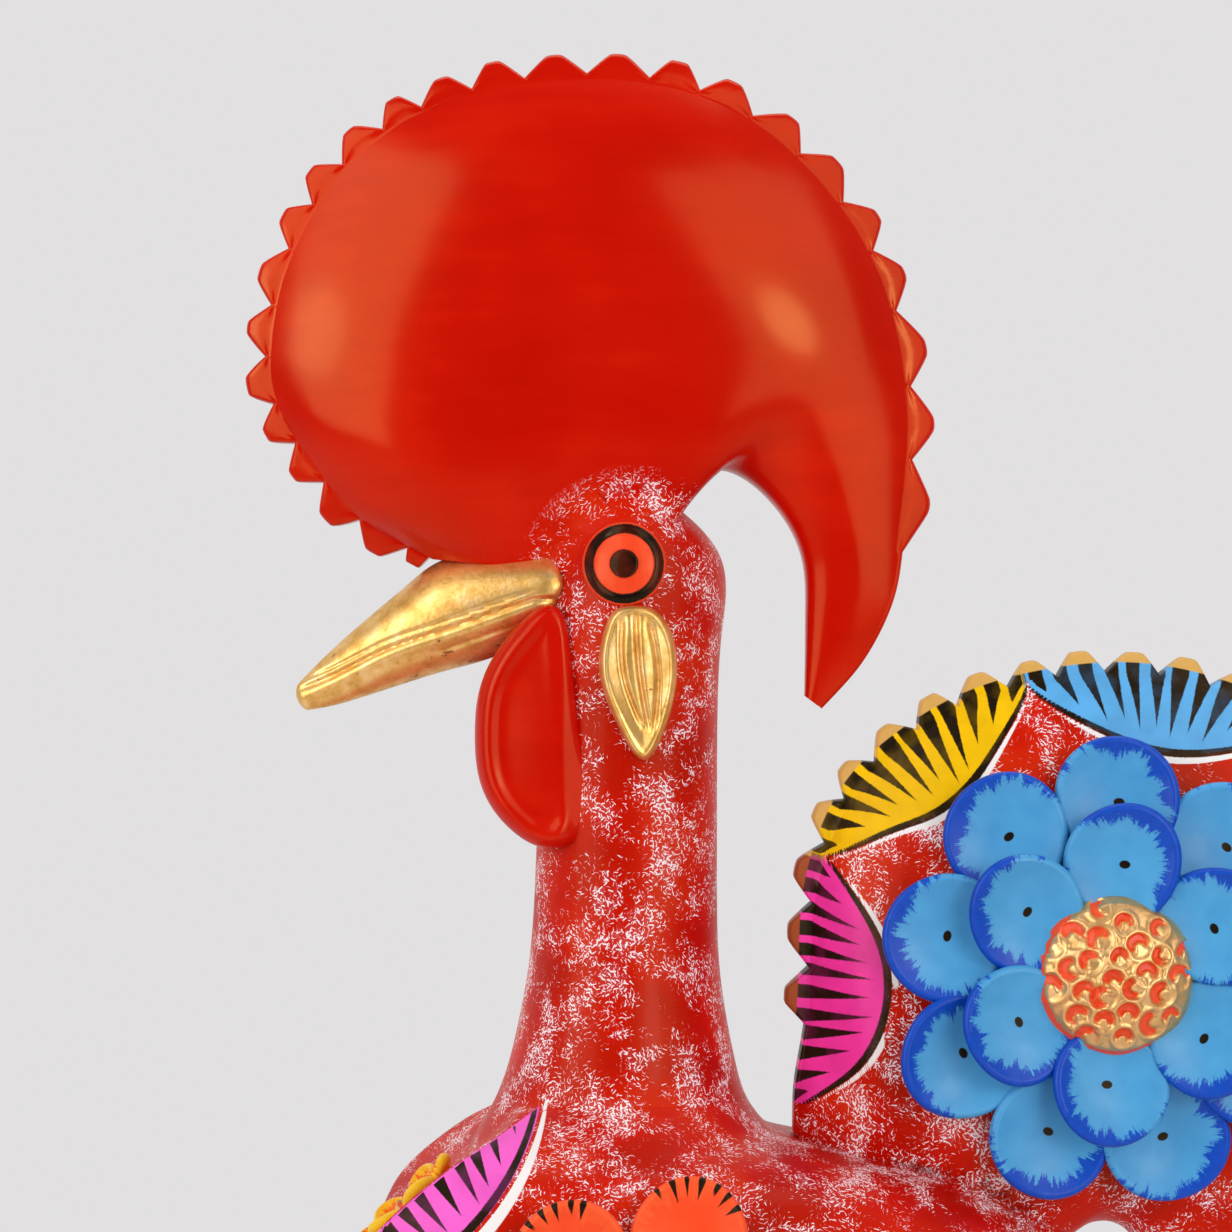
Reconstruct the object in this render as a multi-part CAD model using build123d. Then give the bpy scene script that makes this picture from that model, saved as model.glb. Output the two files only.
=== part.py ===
"""Rooster of Barcelos in fired and painted clay, built as the separate pieces that are luted together.

Millimetres. The bird faces -X, its left side is -Y, +Z is up, and z = 0 is the plinth's underside.
"""
import os
from math import asin, copysign, cos, pi, radians, sin, sqrt
from build123d import *

os.makedirs("parts", exist_ok=True)

# Fits
SEAM = 0.3            # slip seam left between a tenon and its socket
SINK = 0.8            # how far an applied piece is pressed in before it is trimmed to its seat
BODY_WALL = 8.0       # thrown wall of the belly
NECK_WALL = 12.0      # thicker hand-built wall of the neck

# Plinth
PLINTH_R = 92.0
PLINTH_H = 30.0
PLINTH_WALL = 11.0
PLINTH_EDGE = 13.0    # width of the rounded shoulder

# Belly: height, breast side, tail side, half width
BELLY = [
    (128, -40, 14, 22),
    (136, -60, 30, 38),
    (152, -79, 45, 51),
    (174, -95, 58, 62),
    (200, -107, 68, 70),
    (228, -114, 74, 73),
    (250, -117, 76, 72),
    (264, -121, 74.5, 70),
    (275, -130, 69, 67),
    (284, -137, 57, 63),
    (293, -130, 31, 57),
    (301, -117, -9, 46),
    (307, -98, -18, 32),
]
BREAST_BLUNT = 3.2    # how square the plan is at the breast, where 2 is an ellipse
RUMP_BLUNT = 2.3
VENT_R = 11.0         # firing vent under the belly

# Breast facet, a dished shield between two ridges
FACET_FOOT = (-121.5, 276.0)
FACET_HEAD = (-77.0, 317.0)
FACET_HALF = 55.0     # from the mid-plane to where the dish runs out at a ridge
FACET_DISH = 9.0

# Neck: the skirt that rises out of the belly, then the tube and the head
SKIRT = [
    (272, -98, 7, 56),
    (286, -95.5, 2, 50),
    (298, -91.5, -6, 43),
    (308, -86, -14, 37.5),
    (318, -82, -17.7, 33.5),
    (330, -79, -20.2, 30.3),
]
COLLAR_Z = SKIRT[-1][0]
NECK = [
    (345, -76.2, -22.4, 27.5),
    (365, -74.4, -23.2, 25.5),
    (395, -73.2, -23.2, 24.8),
    (420, -72.5, -23, 25),
    (440, -73, -21.8, 26),
    (452, -71.5, -20.7, 26),
    (462, -68.5, -22.8, 25),
    (470, -64, -29, 22),
    (476, -58, -36, 16),
]
NECK_HOLLOW_TOP = 425.0
SPIGOT = 14.0         # depth of the neck's tenon in the collar

# Comb: root point, rim point, half thickness, from the beak over the crown to the hook
COMB = [
    ((-62, 462), (-104, 460.3), 11.5),
    ((-61, 463.2), (-122.9, 471), 15),
    ((-60, 464.5), (-133, 481.5), 17.5),
    ((-57, 466), (-146.8, 503), 20),
    ((-54, 467.5), (-148.8, 524), 22),
    ((-51.5, 468.5), (-143.2, 546), 23.5),
    ((-49, 469.5), (-128.2, 570), 24.5),
    ((-47, 470), (-105.8, 586.4), 25),
    ((-44.5, 470), (-77.3, 594.3), 25),
    ((-42, 470), (-46, 595), 25),
    ((-39, 470), (-16.5, 585.8), 24.5),
    ((-35.5, 470.5), (8.5, 564.3), 23),
    ((-31.5, 475.5), (24.3, 537), 20),
    ((-28, 483), (30.8, 508), 16.5),
    ((-19.5, 484.6), (31, 486), 14),
    ((-8, 476), (28.8, 465.5), 11.5),
    ((0.2, 461.5), (26.2, 449.5), 9.5),
    ((1.5, 446), (19.6, 435), 7.5),
    ((1.8, 435), (13, 426.6), 5.7),
    ((1.6, 424.8), (6, 419.2), 3.5),
]
COMB_EDGE = 4.2       # half thickness of the notched rim
COMB_FIT = 0.3        # how closely the skin follows the stations
# Widths of the hand-cut teeth, from the beak to the hook
COMB_TEETH = [
    6.5, 15.5, 14.5, 13.5, 12.5, 13.5, 14.5, 16.5, 14, 14, 15, 12.5, 15,
    15, 17.5, 17.5, 14.5, 16.5, 17, 18, 16, 18, 21.5, 20.5, 26,
]
TOOTH_DEPTH = 6.2
TOOTH_FLAT = 4.0
RIM_WEB = 11.0        # how far the notched rim reaches into the pillow
RIM_SHARP = 1.15      # a fan's section thins faster than an ellipse at the rim
ROOT_BLUNT = 0.55     # and keeps its thickness towards the root

# Beak: upper point, lower point, half width, from the cheek to the tip
BEAK = [
    ((-64, 464), (-68, 441), 17.5),
    ((-84, 463), (-84, 433.5), 16.5),
    ((-100, 460), (-97, 429.5), 14),
    ((-110, 453), (-107, 426.6), 11.5),
    ((-122, 442.9), (-119, 422.7), 8.5),
    ((-133.5, 432.5), (-130, 419.4), 5.2),
    ((-141.4, 424), (-139, 417.8), 2.4),
]
MOUTH = [(-143, 423), (-132.4, 426.8), (-115.7, 434.9), (-100.7, 439.9), (-83, 446), (-74, 449)]
MOUTH_WIDTH = 1.0
MOUTH_DEPTH = 1.4

# Wattles: one leaf each, leaning on the neck and closing in a V below the beak
WATTLE = [
    (-68, 447), (-86, 432), (-90.5, 413), (-88.4, 396.5), (-80.5, 385.4),
    (-69, 380.6), (-60, 387), (-60.8, 408), (-63.5, 431),
]
WATTLE_FRONT_Y = 10.5  # outer face at the leading edge, from the mid-plane
WATTLE_BACK_Y = 25.0   # outer face where it leans on the neck
WATTLE_T = 8.0
WATTLE_RIM = 6.0
WATTLE_PANEL = 1.6

# Ear lobes and eyes, applied to the curved side of the head
EAR = [
    (-46.7, 447), (-38.5, 444), (-34.8, 430), (-37, 416), (-44.5, 404.8),
    (-52, 414), (-56.4, 430), (-53.5, 443.5),
]
EAR_T = 3.6
EAR_GROOVE = 1.2
EAR_FOLD = (-41, 414)  # where the pressed grooves run together
EAR_GROOVES = 3
EYE = (-49.3, 458.6)
EYE_R = 11.4
EYE_T = 2.4
EYE_RING = (7.9, 10.5)
EYE_RING_DEPTH = 0.7
PUPIL_R = 3.9
PUPIL_T = 1.2

# Tail: root point, rim point, half thickness, from the saddle over the top to the drooping lobe
TAIL = [
    ((38, 270), (-2, 300), 14),
    ((40, 270), (-1.5, 314), 18),
    ((42, 269.5), (0.9, 328), 20.5),
    ((43.5, 269), (2.3, 346), 23),
    ((46, 268), (3.8, 369), 25),
    ((49, 267), (12.5, 393), 26.5),
    ((52, 266), (27, 408.5), 27.5),
    ((55, 266), (46, 420), 28),
    ((58, 265.5), (68, 426.5), 28),
    ((61, 265.5), (92, 428.5), 28),
    ((64, 265.5), (116, 424), 27.5),
    ((67.5, 267), (139, 413), 26.5),
    ((72, 270), (159, 394), 25),
    ((77, 274), (173, 369), 23.5),
    ((83, 275.8), (180.5, 340), 21.5),
    ((89.5, 274), (181, 309), 19),
    ((95, 267), (174, 279), 16),
    ((99.5, 255), (162, 252), 13),
    ((105, 240), (148, 230), 10),
    ((112, 225), (135, 214.5), 7.5),
    ((119, 213), (125, 207), 4.5),
]
TAIL_EDGE = 4.5
TAIL_FIT = 0.02
TAIL_START = 30.5     # the rim is plain where it meets the saddle
# Widths of the teeth, from the saddle over the top and even round the lobe
TAIL_TEETH = [16, 18, 17, 13.5, 13.5, 15, 13, 15, 14, 13.5, 15] + [14.5] * 20

# Flowers: hand-pressed petals round a stamped boss
# ring: distance of the petals, petal radius, count, first angle, height of the underside, tilt
PETAL_T = 3.4
PETAL_CUP = 3.6       # how far the rim of a petal stands above its middle
TAIL_FLOWER = (84, 346.6)
TAIL_RINGS = [(46.5, 17.6, 9, 8, -SINK, 9), (29.5, 16.6, 6, 26, 2.6, 12)]
TAIL_BOSS = (21.6, 5.5, 8.0, 27)
FLANK_FLOWER = (-41.5, 240.5)
FLANK_RINGS = [(40.5, 16.0, 8, 77, -SINK, 9), (25.0, 14.2, 6, 54, 3.0, 13)]
FLANK_BOSS = (16.5, 5.2, 6.5, 17)
BREAST_UP = 0.18      # place of the breast flower up the facet
BREAST_RINGS = [(12.4, 6.1, 6, 0, -SINK, 10)]
BREAST_BOSS = (5.8, 2.8, 3.4, 7)
CUP_R = 4.3           # stamp that presses the cups
CUP_DEPTH = 1.4

# Legs and feet
LEG_X = -14.0
LEG_Y = 30.0
SHANK_R = 9.5
THIGH_R = 17.0
TENON_R = 7.5
TOE_SPREAD = 36.0     # degrees between front toes
TOE_L = 40.0
SPUR_L = 24.0
TOE_R = 6.5
ANKLE_R = 15.0


def plan_section(z, front, back, half, breast=2.0, rump=2.0, grow=0.0):
    """Horizontal closed curve at height z: a superellipse between front and back."""
    mid = (front + back) / 2
    a = (back - front) / 2 + grow
    b = half + grow
    pts = []
    for k in range(16):
        c = cos(2 * pi * k / 16)
        s = sin(2 * pi * k / 16)
        power = 2 / (breast if c < 0 else rump)
        pts.append((
            mid + a * copysign(abs(c) ** power, c),
            b * copysign(abs(s) ** power, s),
            z,
        ))
    return make_face(Spline(*pts, periodic=True))


def stack(levels, breast=2.0, rump=2.0, grow=0.0):
    """Smooth solid through horizontal sections."""
    return loft([plan_section(*level, breast, rump, grow) for level in levels])


def standing_section(low, high, half):
    """Elliptical section standing on the mid-plane between two points of the side view."""
    along = Vector(high[0] - low[0], 0, high[1] - low[1])
    mid = Vector((low[0] + high[0]) / 2, 0, (low[1] + high[1]) / 2)
    plane = Plane(origin=mid, x_dir=along, z_dir=along.cross(Vector(0, 1, 0)))
    return plane * Ellipse(along.length / 2, half)


def fan(stations, fit, steps=8):
    """Pillow whose lens-shaped sections turn round the root like the sticks of a fan.

    The left skin is fitted through the sections, the right one is its mirror, and flat ends close it.
    """
    rows = []
    for root, rim, half in stations:
        row = []
        for k in range(steps + 1):
            out = (1 + cos(pi * k / steps)) / 2
            power = RIM_SHARP if k < steps / 2 else ROOT_BLUNT
            bulge = half * sin(pi * k / steps) ** power if 0 < k < steps else 0.0
            row.append((
                root[0] + (rim[0] - root[0]) * out,
                -bulge,
                root[1] + (rim[1] - root[1]) * out,
            ))
        rows.append(row)
    left = Face.make_surface_from_array_of_points(rows, tol=fit)
    skins = [left, left.mirror(Plane.XZ)]
    for edge in left.edges():
        if abs(edge.position_at(0.5).Y) > 0.5:
            skins.append(Face(Wire([edge, edge.mirror(Plane.XZ)])))
    return Solid(Shell(skins))


def toothed_rim(stations, start, widths, edge):
    """Notched plate along a fan's rim: trapezoid teeth of the given widths, one after the other."""
    path = Spline(*[(rim[0], 0, rim[1]) for root, rim, half in stations])
    total = path.length
    outer = []
    inner = []
    s = start

    def at(length, out):
        p = path.position_at(min(length, total), PositionMode.LENGTH)
        t = path.tangent_at(min(length, total), PositionMode.LENGTH)
        return (p.X - out * t.Z, p.Z + out * t.X)

    for step in widths:
        if s + step > total - 2 * TOOTH_FLAT:
            break
        lead = (step - TOOTH_FLAT) / 2
        outer.append(at(s, 0))
        outer.append(at(s + lead, TOOTH_DEPTH))
        outer.append(at(s + lead + TOOTH_FLAT, TOOTH_DEPTH))
        inner.append(at(s, -RIM_WEB * (1 - 0.6 * s / total)))
        s = s + step
    outer.append(at(s, 0))
    inner.append(at(s, -RIM_WEB * (1 - 0.6 * s / total)))
    return extrude(side_face(outer + inner[::-1]), amount=edge, both=True)


def side_face(points):
    """Flat face in the mid-plane bounded by straight lines."""
    return make_face(Polyline(*[(x, 0, z) for x, z in points], close=True))


def side_leaf(points, inset=0.0):
    """Prism across the whole bird whose side view is one smooth closed curve, drawn in by an inset."""
    middle = sum((Vector(x, 0, z) for x, z in points), Vector(0, 0, 0)) / len(points)
    drawn = []
    for x, z in points:
        away = Vector(x, 0, z) - middle
        drawn.append(middle + away * (1 - inset / away.length))
    return extrude(make_face(Spline(*drawn, periodic=True)), amount=100, both=True)


def largest(shape):
    """The main solid of a cut, without the crumbs."""
    return max(shape.solids(), key=lambda s: s.volume)


def slab(z0, z1, size=500.0):
    """Everything between two heights."""
    return Pos(0, 0, (z0 + z1) / 2) * Box(size, size, z1 - z0)


def petal(radius):
    """Hand-pressed petal lying on its back: a cupped disc with a rolled rim, its middle at the origin."""
    bowl = (radius ** 2 + PETAL_CUP ** 2) / (2 * PETAL_CUP)
    reach = asin((radius - PETAL_T / 2) / bowl)

    def on(ball, angle):
        return (ball * sin(angle), 0, bowl - ball * cos(angle))

    under = bowl + PETAL_T
    top = ThreePointArc(on(bowl, 0), on(bowl, reach / 2), on(bowl, reach))
    tip = on(bowl + PETAL_T / 2, reach + PETAL_T / 2 / bowl)
    rim = ThreePointArc(on(bowl, reach), tip, on(under, reach))
    back = ThreePointArc(on(under, reach), on(under, reach / 2), on(under, 0))
    core = Line(on(under, 0), on(bowl, 0))
    return revolve(make_face(top + rim + back + core), Axis.Z)


def stamped_boss(radius, edge, dome, cups):
    """Domed button on a tapering stem, stamped with cups in a sunflower spiral."""
    ball = (radius ** 2 + dome ** 2) / (2 * dome)
    foot = (0.45 * radius, 0, -SINK)
    lip = (radius, 0, edge)
    half = asin(radius / ball) / 2
    crown = (0, 0, edge + dome)
    over = ThreePointArc(lip, (ball * sin(half), 0, edge + dome - ball + ball * cos(half)), crown)
    side = Polyline(crown, (0, 0, -SINK), foot, (0.86 * radius, 0, 0.45 * edge), lip)
    button = revolve(make_face(over + side), Axis.Z)
    stamps = []
    for k in range(cups):
        r = 0.9 * radius * sqrt((k + 0.5) / cups)
        a = radians(137.508 * k)
        h = edge + dome - ball + sqrt(ball ** 2 - r ** 2)
        lift = CUP_R - CUP_DEPTH
        up = Vector(r * cos(a) / ball, r * sin(a) / ball, sqrt(1 - (r / ball) ** 2))
        stamps.append(Pos(*(Vector(r * cos(a), r * sin(a), h) + up * lift)) * Sphere(CUP_R))
    return button.cut(*stamps)


def flower(base, place, rings, boss):
    """Rings of petals pressed on a base, each petal trimmed to what already lies there, and the boss.

    place(u, v) gives the seat and the outward normal at an offset from the flower's middle.
    A ring with a height below zero is sunk in the base; a higher ring rests on the petals under it.
    """
    middle, axis = place(0, 0)
    laid = []
    made = []
    for distance, radius, count, first, height, tilt in rings:
        ring = []
        for k in range(count):
            a = radians(first + 360 / count * k)
            seat, normal = place(distance * cos(a), distance * sin(a))
            out = seat - middle
            out = (out - normal * out.dot(normal)).normalized()
            up = normal * cos(radians(tilt)) - out * sin(radians(tilt))
            plane = Plane(origin=seat + normal * (height + PETAL_T), x_dir=out.cross(up), z_dir=up)
            piece = plane * petal(radius)
            if height < 0:
                piece = largest(piece.cut(base))
            for there, reach, other in laid:
                if (there - seat).length < reach + radius:
                    piece = largest(piece.cut(other))
            laid.append((seat, radius, piece))
            ring.append(piece)
        made.append(ring)
    button = (Plane(origin=middle, z_dir=axis) * stamped_boss(*boss)).cut(base)
    for ring in made:
        for piece in ring:
            button = button.cut(piece)
    return made, largest(button)


def on_side(solid, centre):
    """Seat finder for the left skin of a solid, at offsets from a point of the side view."""
    skin = solid.solid().shell()

    def place(u, v):
        ray = Axis((centre[0] + u, -400, centre[1] + v), (0, 1, 0))
        point, normal = min(skin.find_intersection_points(ray), key=lambda hit: hit[0].Y)
        return point, normal if normal.Y < 0 else normal * -1

    return place


def node(name, *shapes):
    """Write one named piece."""
    found = [s for shape in shapes for s in shape.solids()]
    export_step(Compound(children=found) if len(found) > 1 else found[0], f"parts/{name}.step")
    print(name, len(found))


def both_sides(name, *shapes):
    """Write a piece of the left side and its mirror on the right."""
    found = [s for shape in shapes for s in shape.solids()]
    node(f"{name}_left", *found)
    node(f"{name}_right", *[s.mirror(Plane.XZ) for s in found])


# Belly and neck
facet_dir = Vector(FACET_HEAD[0] - FACET_FOOT[0], 0, FACET_HEAD[1] - FACET_FOOT[1])
facet_len = facet_dir.length
facet_dir = facet_dir.normalized()
facet_out = Vector(-facet_dir.Z, 0, facet_dir.X)
facet = Plane(origin=(FACET_FOOT[0], 0, FACET_FOOT[1]), x_dir=facet_dir, z_dir=facet_out)
dish_r = (FACET_HALF ** 2 + FACET_DISH ** 2) / (2 * FACET_DISH)
dish = facet * Pos(facet_len / 2, 0, dish_r - FACET_DISH) * Rot(0, 90, 0) * Cylinder(dish_r, 400)
beyond_facet = facet * Pos(facet_len / 2, 0, 100) * Box(400, 400, 200)
belly_form = stack(BELLY, BREAST_BLUNT, RUMP_BLUNT)
belly = belly_form.cut(beyond_facet, dish)
skirt = stack(SKIRT)
outside = belly + skirt
hollow = stack(BELLY[1:-1], BREAST_BLUNT, RUMP_BLUNT, -BODY_WALL)
inwards = Pos(*(facet_out * -BODY_WALL))
hollow = hollow.cut(inwards * beyond_facet, inwards * dish)
bore = stack(SKIRT, grow=-BODY_WALL)

head_form = stack(SKIRT[-2:] + NECK) & slab(COLLAR_Z, NECK[-1][0] + 1)
spigot = stack(SKIRT[-3:], grow=-BODY_WALL - SEAM) & slab(COLLAR_Z - SPIGOT, COLLAR_Z)
neck_bore = stack(SKIRT[-3:] + NECK[:4], grow=-NECK_WALL) & slab(0, NECK_HOLLOW_TOP)

# Comb and tail, tongued into the head and the back
comb_pillow = fan(COMB, COMB_FIT)
comb = comb_pillow + toothed_rim(COMB, 0.0, COMB_TEETH, COMB_EDGE)
tail_pillow = fan(TAIL, TAIL_FIT)
tail = tail_pillow + toothed_rim(TAIL, TAIL_START, TAIL_TEETH, TAIL_EDGE)
neck = largest(head_form + spigot - neck_bore - comb_pillow)

# Beak with the incised mouth
beak = loft([standing_section(low, high, half) for high, low, half in BEAK])
beak_core = loft([standing_section(low, high, half - MOUTH_DEPTH) for high, low, half in BEAK])
mouth_face = make_face(
    Polyline(*[(x, 0, z + MOUTH_WIDTH / 2) for x, z in MOUTH])
    + Polyline(*[(x, 0, z - MOUTH_WIDTH / 2) for x, z in MOUTH])
    + Line((MOUTH[0][0], 0, MOUTH[0][1] + MOUTH_WIDTH / 2), (MOUTH[0][0], 0, MOUTH[0][1] - MOUTH_WIDTH / 2))
    + Line((MOUTH[-1][0], 0, MOUTH[-1][1] + MOUTH_WIDTH / 2), (MOUTH[-1][0], 0, MOUTH[-1][1] - MOUTH_WIDTH / 2))
)
mouth = extrude(mouth_face, amount=60, both=True) - beak_core
beak = largest(beak.cut(head_form, comb, mouth))

# Wattles
lean = Vector(WATTLE[6][0] - WATTLE[2][0], -(WATTLE_BACK_Y - WATTLE_FRONT_Y), 0)
wattle_out = Vector(lean.Y, -lean.X, 0).normalized()
wattle_face = Plane(origin=(WATTLE[2][0], -WATTLE_FRONT_Y, WATTLE[2][1]), x_dir=lean, z_dir=wattle_out)
left_half = Pos(0, -100 - SEAM, 300) * Box(600, 200, 700)
wattle_slab = wattle_face * Pos(0, 0, -WATTLE_T / 2) * Box(200, 200, WATTLE_T)
wattle_skin = wattle_face * Pos(0, 0, -WATTLE_PANEL / 2) * Box(200, 200, WATTLE_PANEL)
wattle = (side_leaf(WATTLE) & wattle_slab) - (side_leaf(WATTLE, WATTLE_RIM) & wattle_skin)
wattle = largest((wattle & left_half).cut(head_form, beak, comb))

# Ear lobes and eyes follow the side of the head
head_levels = SKIRT[-1:] + NECK


def on_head(prism, thick):
    """A pad of even thickness on the left of the head, cut out by a prism across the bird."""
    return (prism & stack(head_levels, grow=thick) & left_half) - head_form


eye_axis = Plane(origin=(EYE[0], 0, EYE[1]), z_dir=(0, -1, 0))
eye_disc = on_head(eye_axis * Cylinder(EYE_R, 200), EYE_T)
ring_cut = eye_axis * (Cylinder(EYE_RING[1], 200) - Cylinder(EYE_RING[0], 200))
pupil = on_head(eye_axis * Cylinder(PUPIL_R, 200), EYE_T + PUPIL_T)
eye = (eye_disc - (ring_cut - stack(head_levels, grow=EYE_T - EYE_RING_DEPTH))) + pupil
eye = largest(eye.cut(comb, beak))

grooves = []
for k in range(EAR_GROOVES):
    start = (EAR[0][0] + 4.5 * (k - (EAR_GROOVES - 1) / 2), EAR[0][1] - 6)
    cut_dir = Vector(EAR_FOLD[0] - start[0], 0, EAR_FOLD[1] - start[1])
    cut_mid = ((start[0] + EAR_FOLD[0]) / 2, 0, (start[1] + EAR_FOLD[1]) / 2)
    grooves.append(Plane(origin=cut_mid, x_dir=cut_dir, z_dir=(0, 1, 0)) * Box(cut_dir.length, 1.1, 200))
ear = on_head(side_leaf(EAR), EAR_T)
ear_floor = stack(head_levels, grow=EAR_T - EAR_GROOVE)
ear = largest(ear.cut(eye, *[g - ear_floor for g in grooves]))

# Legs in the plinth's and the belly's sockets
left_leg = Pos(LEG_X, -LEG_Y, 0)
leg_profile = make_face(
    Polyline(
        (0, 0, PLINTH_H - PLINTH_WALL), (TENON_R, 0, PLINTH_H - PLINTH_WALL), (TENON_R, 0, PLINTH_H),
        (SHANK_R, 0, PLINTH_H), (SHANK_R, 0, BELLY[0][0] - 45),
    )
    + Spline(
        (SHANK_R, 0, BELLY[0][0] - 45), (SHANK_R * 1.25, 0, BELLY[0][0] - 22), (THIGH_R, 0, BELLY[0][0] + 14),
        tangents=[(0, 0, 1), (0.35, 0, 1)],
    )
    + Polyline((THIGH_R, 0, BELLY[0][0] + 14), (0, 0, BELLY[0][0] + 14), (0, 0, PLINTH_H - PLINTH_WALL))
)
belly_tenon = Pos(LEG_X, -LEG_Y, BELLY[0][0] + 9) * Cylinder(TENON_R, 18)
leg = largest((left_leg * revolve(leg_profile, Axis.Z)) - belly) + belly_tenon
socket = Pos(LEG_X, -LEG_Y, BELLY[0][0] + 9) * Cylinder(TENON_R + SEAM, 40)
vent = Pos((BELLY[0][1] + BELLY[0][2]) / 2, 0, BELLY[0][0]) * Cylinder(VENT_R, 40)

body = largest(outside.cut(hollow, bore, tail_pillow, socket, socket.mirror(Plane.XZ), vent))


def toe(length, angle):
    """Tapering toe lying on the plinth, from the ankle outwards."""
    parts = []
    for share, r in ((0, TOE_R), (0.35, TOE_R * 1.1), (0.75, TOE_R * 0.85), (1, TOE_R * 0.35)):
        plane = Plane(origin=(-length * share, 0, PLINTH_H + r * 0.35), z_dir=(-1, 0, 0))
        parts.append(plane * Circle(r))
    return Rot(0, 0, angle) * loft(parts)


ankle = Pos(0, 0, PLINTH_H) * Sphere(ANKLE_R)
toes = [toe(TOE_L, TOE_SPREAD * (k - 1)) for k in range(3)] + [toe(SPUR_L, 180)]
foot = ankle.fuse(*toes) & slab(PLINTH_H, PLINTH_H + 60)
foot = largest(left_leg * (foot - Pos(0, 0, PLINTH_H) * Cylinder(SHANK_R + SEAM, 100)))

plinth_profile = make_face(
    Polyline((PLINTH_R - PLINTH_WALL, 0, 0), (PLINTH_R, 0, 0), (PLINTH_R, 0, PLINTH_H - PLINTH_EDGE))
    + ThreePointArc(
        (PLINTH_R, 0, PLINTH_H - PLINTH_EDGE),
        (PLINTH_R - PLINTH_EDGE * (1 - cos(pi / 4)), 0, PLINTH_H - PLINTH_EDGE * (1 - sin(pi / 4))),
        (PLINTH_R - PLINTH_EDGE, 0, PLINTH_H),
    )
    + Polyline(
        (PLINTH_R - PLINTH_EDGE, 0, PLINTH_H), (0, 0, PLINTH_H), (0, 0, PLINTH_H - PLINTH_WALL),
        (PLINTH_R - PLINTH_WALL, 0, PLINTH_H - PLINTH_WALL), (PLINTH_R - PLINTH_WALL, 0, 0),
    )
)
plinth = revolve(plinth_profile, Axis.Z)
leg_hole = Pos(LEG_X, -LEG_Y, PLINTH_H) * Cylinder(TENON_R + SEAM, 4 * PLINTH_WALL)
plinth = plinth.cut(leg_hole, leg_hole.mirror(Plane.XZ))

# Flowers
tail_rings, tail_boss = flower(tail_pillow, on_side(tail_pillow, TAIL_FLOWER), TAIL_RINGS, TAIL_BOSS)
flank_rings, flank_boss = flower(belly_form, on_side(belly_form, FLANK_FLOWER), FLANK_RINGS, FLANK_BOSS)


def on_facet(u, v):
    """Seat finder in the dish of the breast facet, with u up the facet."""
    rise = dish_r - sqrt(dish_r ** 2 - v ** 2) - FACET_DISH
    seat = facet.from_local_coords(Vector(facet_len * BREAST_UP + u, v, rise))
    axis = facet.from_local_coords(Vector(facet_len * BREAST_UP + u, 0, dish_r - FACET_DISH))
    return seat, (axis - seat).normalized()


behind_facet = facet * Pos(facet_len / 2, 0, -50) * Box(200, 200, 100) - dish
breast_rings, breast_boss = flower(behind_facet, on_facet, BREAST_RINGS, BREAST_BOSS)

node("plinth", plinth)
both_sides("leg", leg)
both_sides("foot", foot)
node("body", body)
node("neck", neck)
node("comb", comb)
node("beak", beak)
both_sides("wattle", wattle)
both_sides("earlobe", ear)
both_sides("eye", eye)
node("tail", tail)
both_sides("tail_outer_petals", *tail_rings[0])
both_sides("tail_inner_petals", *tail_rings[1])
both_sides("tail_boss", tail_boss)
both_sides("flank_outer_petals", *flank_rings[0])
both_sides("flank_inner_petals", *flank_rings[1])
both_sides("flank_boss", flank_boss)
node("breast_petals", *breast_rings[0])
node("breast_boss", breast_boss)
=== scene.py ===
# %% [markdown]
# # Rooster of Barcelos
# A fired clay rooster, lacquered red, flecked with white and painted with fans and flowers.
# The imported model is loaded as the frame. Every skin below is worked out with numpy in millimetres
# and goes where the clay piece it stands for already is, so nothing has to be fitted by eye.

import bmesh
import bpy
import numpy as np
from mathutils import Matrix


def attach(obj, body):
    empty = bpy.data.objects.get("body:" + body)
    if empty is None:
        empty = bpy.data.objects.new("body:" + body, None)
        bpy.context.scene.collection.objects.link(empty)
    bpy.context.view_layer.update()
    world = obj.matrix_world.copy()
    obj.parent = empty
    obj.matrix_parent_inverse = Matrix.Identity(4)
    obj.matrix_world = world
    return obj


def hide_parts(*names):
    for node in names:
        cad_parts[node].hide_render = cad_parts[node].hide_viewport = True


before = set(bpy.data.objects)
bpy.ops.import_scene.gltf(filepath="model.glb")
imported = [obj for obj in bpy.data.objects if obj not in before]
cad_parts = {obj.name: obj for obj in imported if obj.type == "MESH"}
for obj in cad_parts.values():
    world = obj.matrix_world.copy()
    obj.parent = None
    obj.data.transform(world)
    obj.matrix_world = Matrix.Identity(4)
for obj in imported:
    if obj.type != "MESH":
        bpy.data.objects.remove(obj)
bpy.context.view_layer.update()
MM = 0.001
rng = np.random.default_rng(7)

# %% [markdown]
# The photograph looks level at the left side, so the camera looks along +Y. At 1050 mm from the bird's
# middle the frame is 345 mm wide, which fixes the lens on a 36 mm sensor.

# %% Camera
VIEW_X, VIEW_Z = -51.5, 444.3
VIEW_DISTANCE, VIEW_WIDTH = 1050.0, 345.0
lens = bpy.data.cameras.new("side_view")
lens.lens = lens.sensor_width * VIEW_DISTANCE / VIEW_WIDTH
lens.clip_end = 20
camera = bpy.data.objects.new("side_view", lens)
camera.location = (VIEW_X * MM, -VIEW_DISTANCE * MM, VIEW_Z * MM)
camera.rotation_euler = (np.pi / 2, 0, 0)
bpy.context.scene.collection.objects.link(camera)
bpy.context.scene.camera = camera
bpy.context.scene.view_settings.view_transform = "Standard"
print("lens", round(lens.lens, 1), "mm")

# %% [markdown]
# Clay is shaped by hand, so its lines are smooth curves through a few places. Blender's own curves could
# draw them, but a natural cubic spline in numpy gives the points at any place at once, so that every
# piece can use the same lines.


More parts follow.
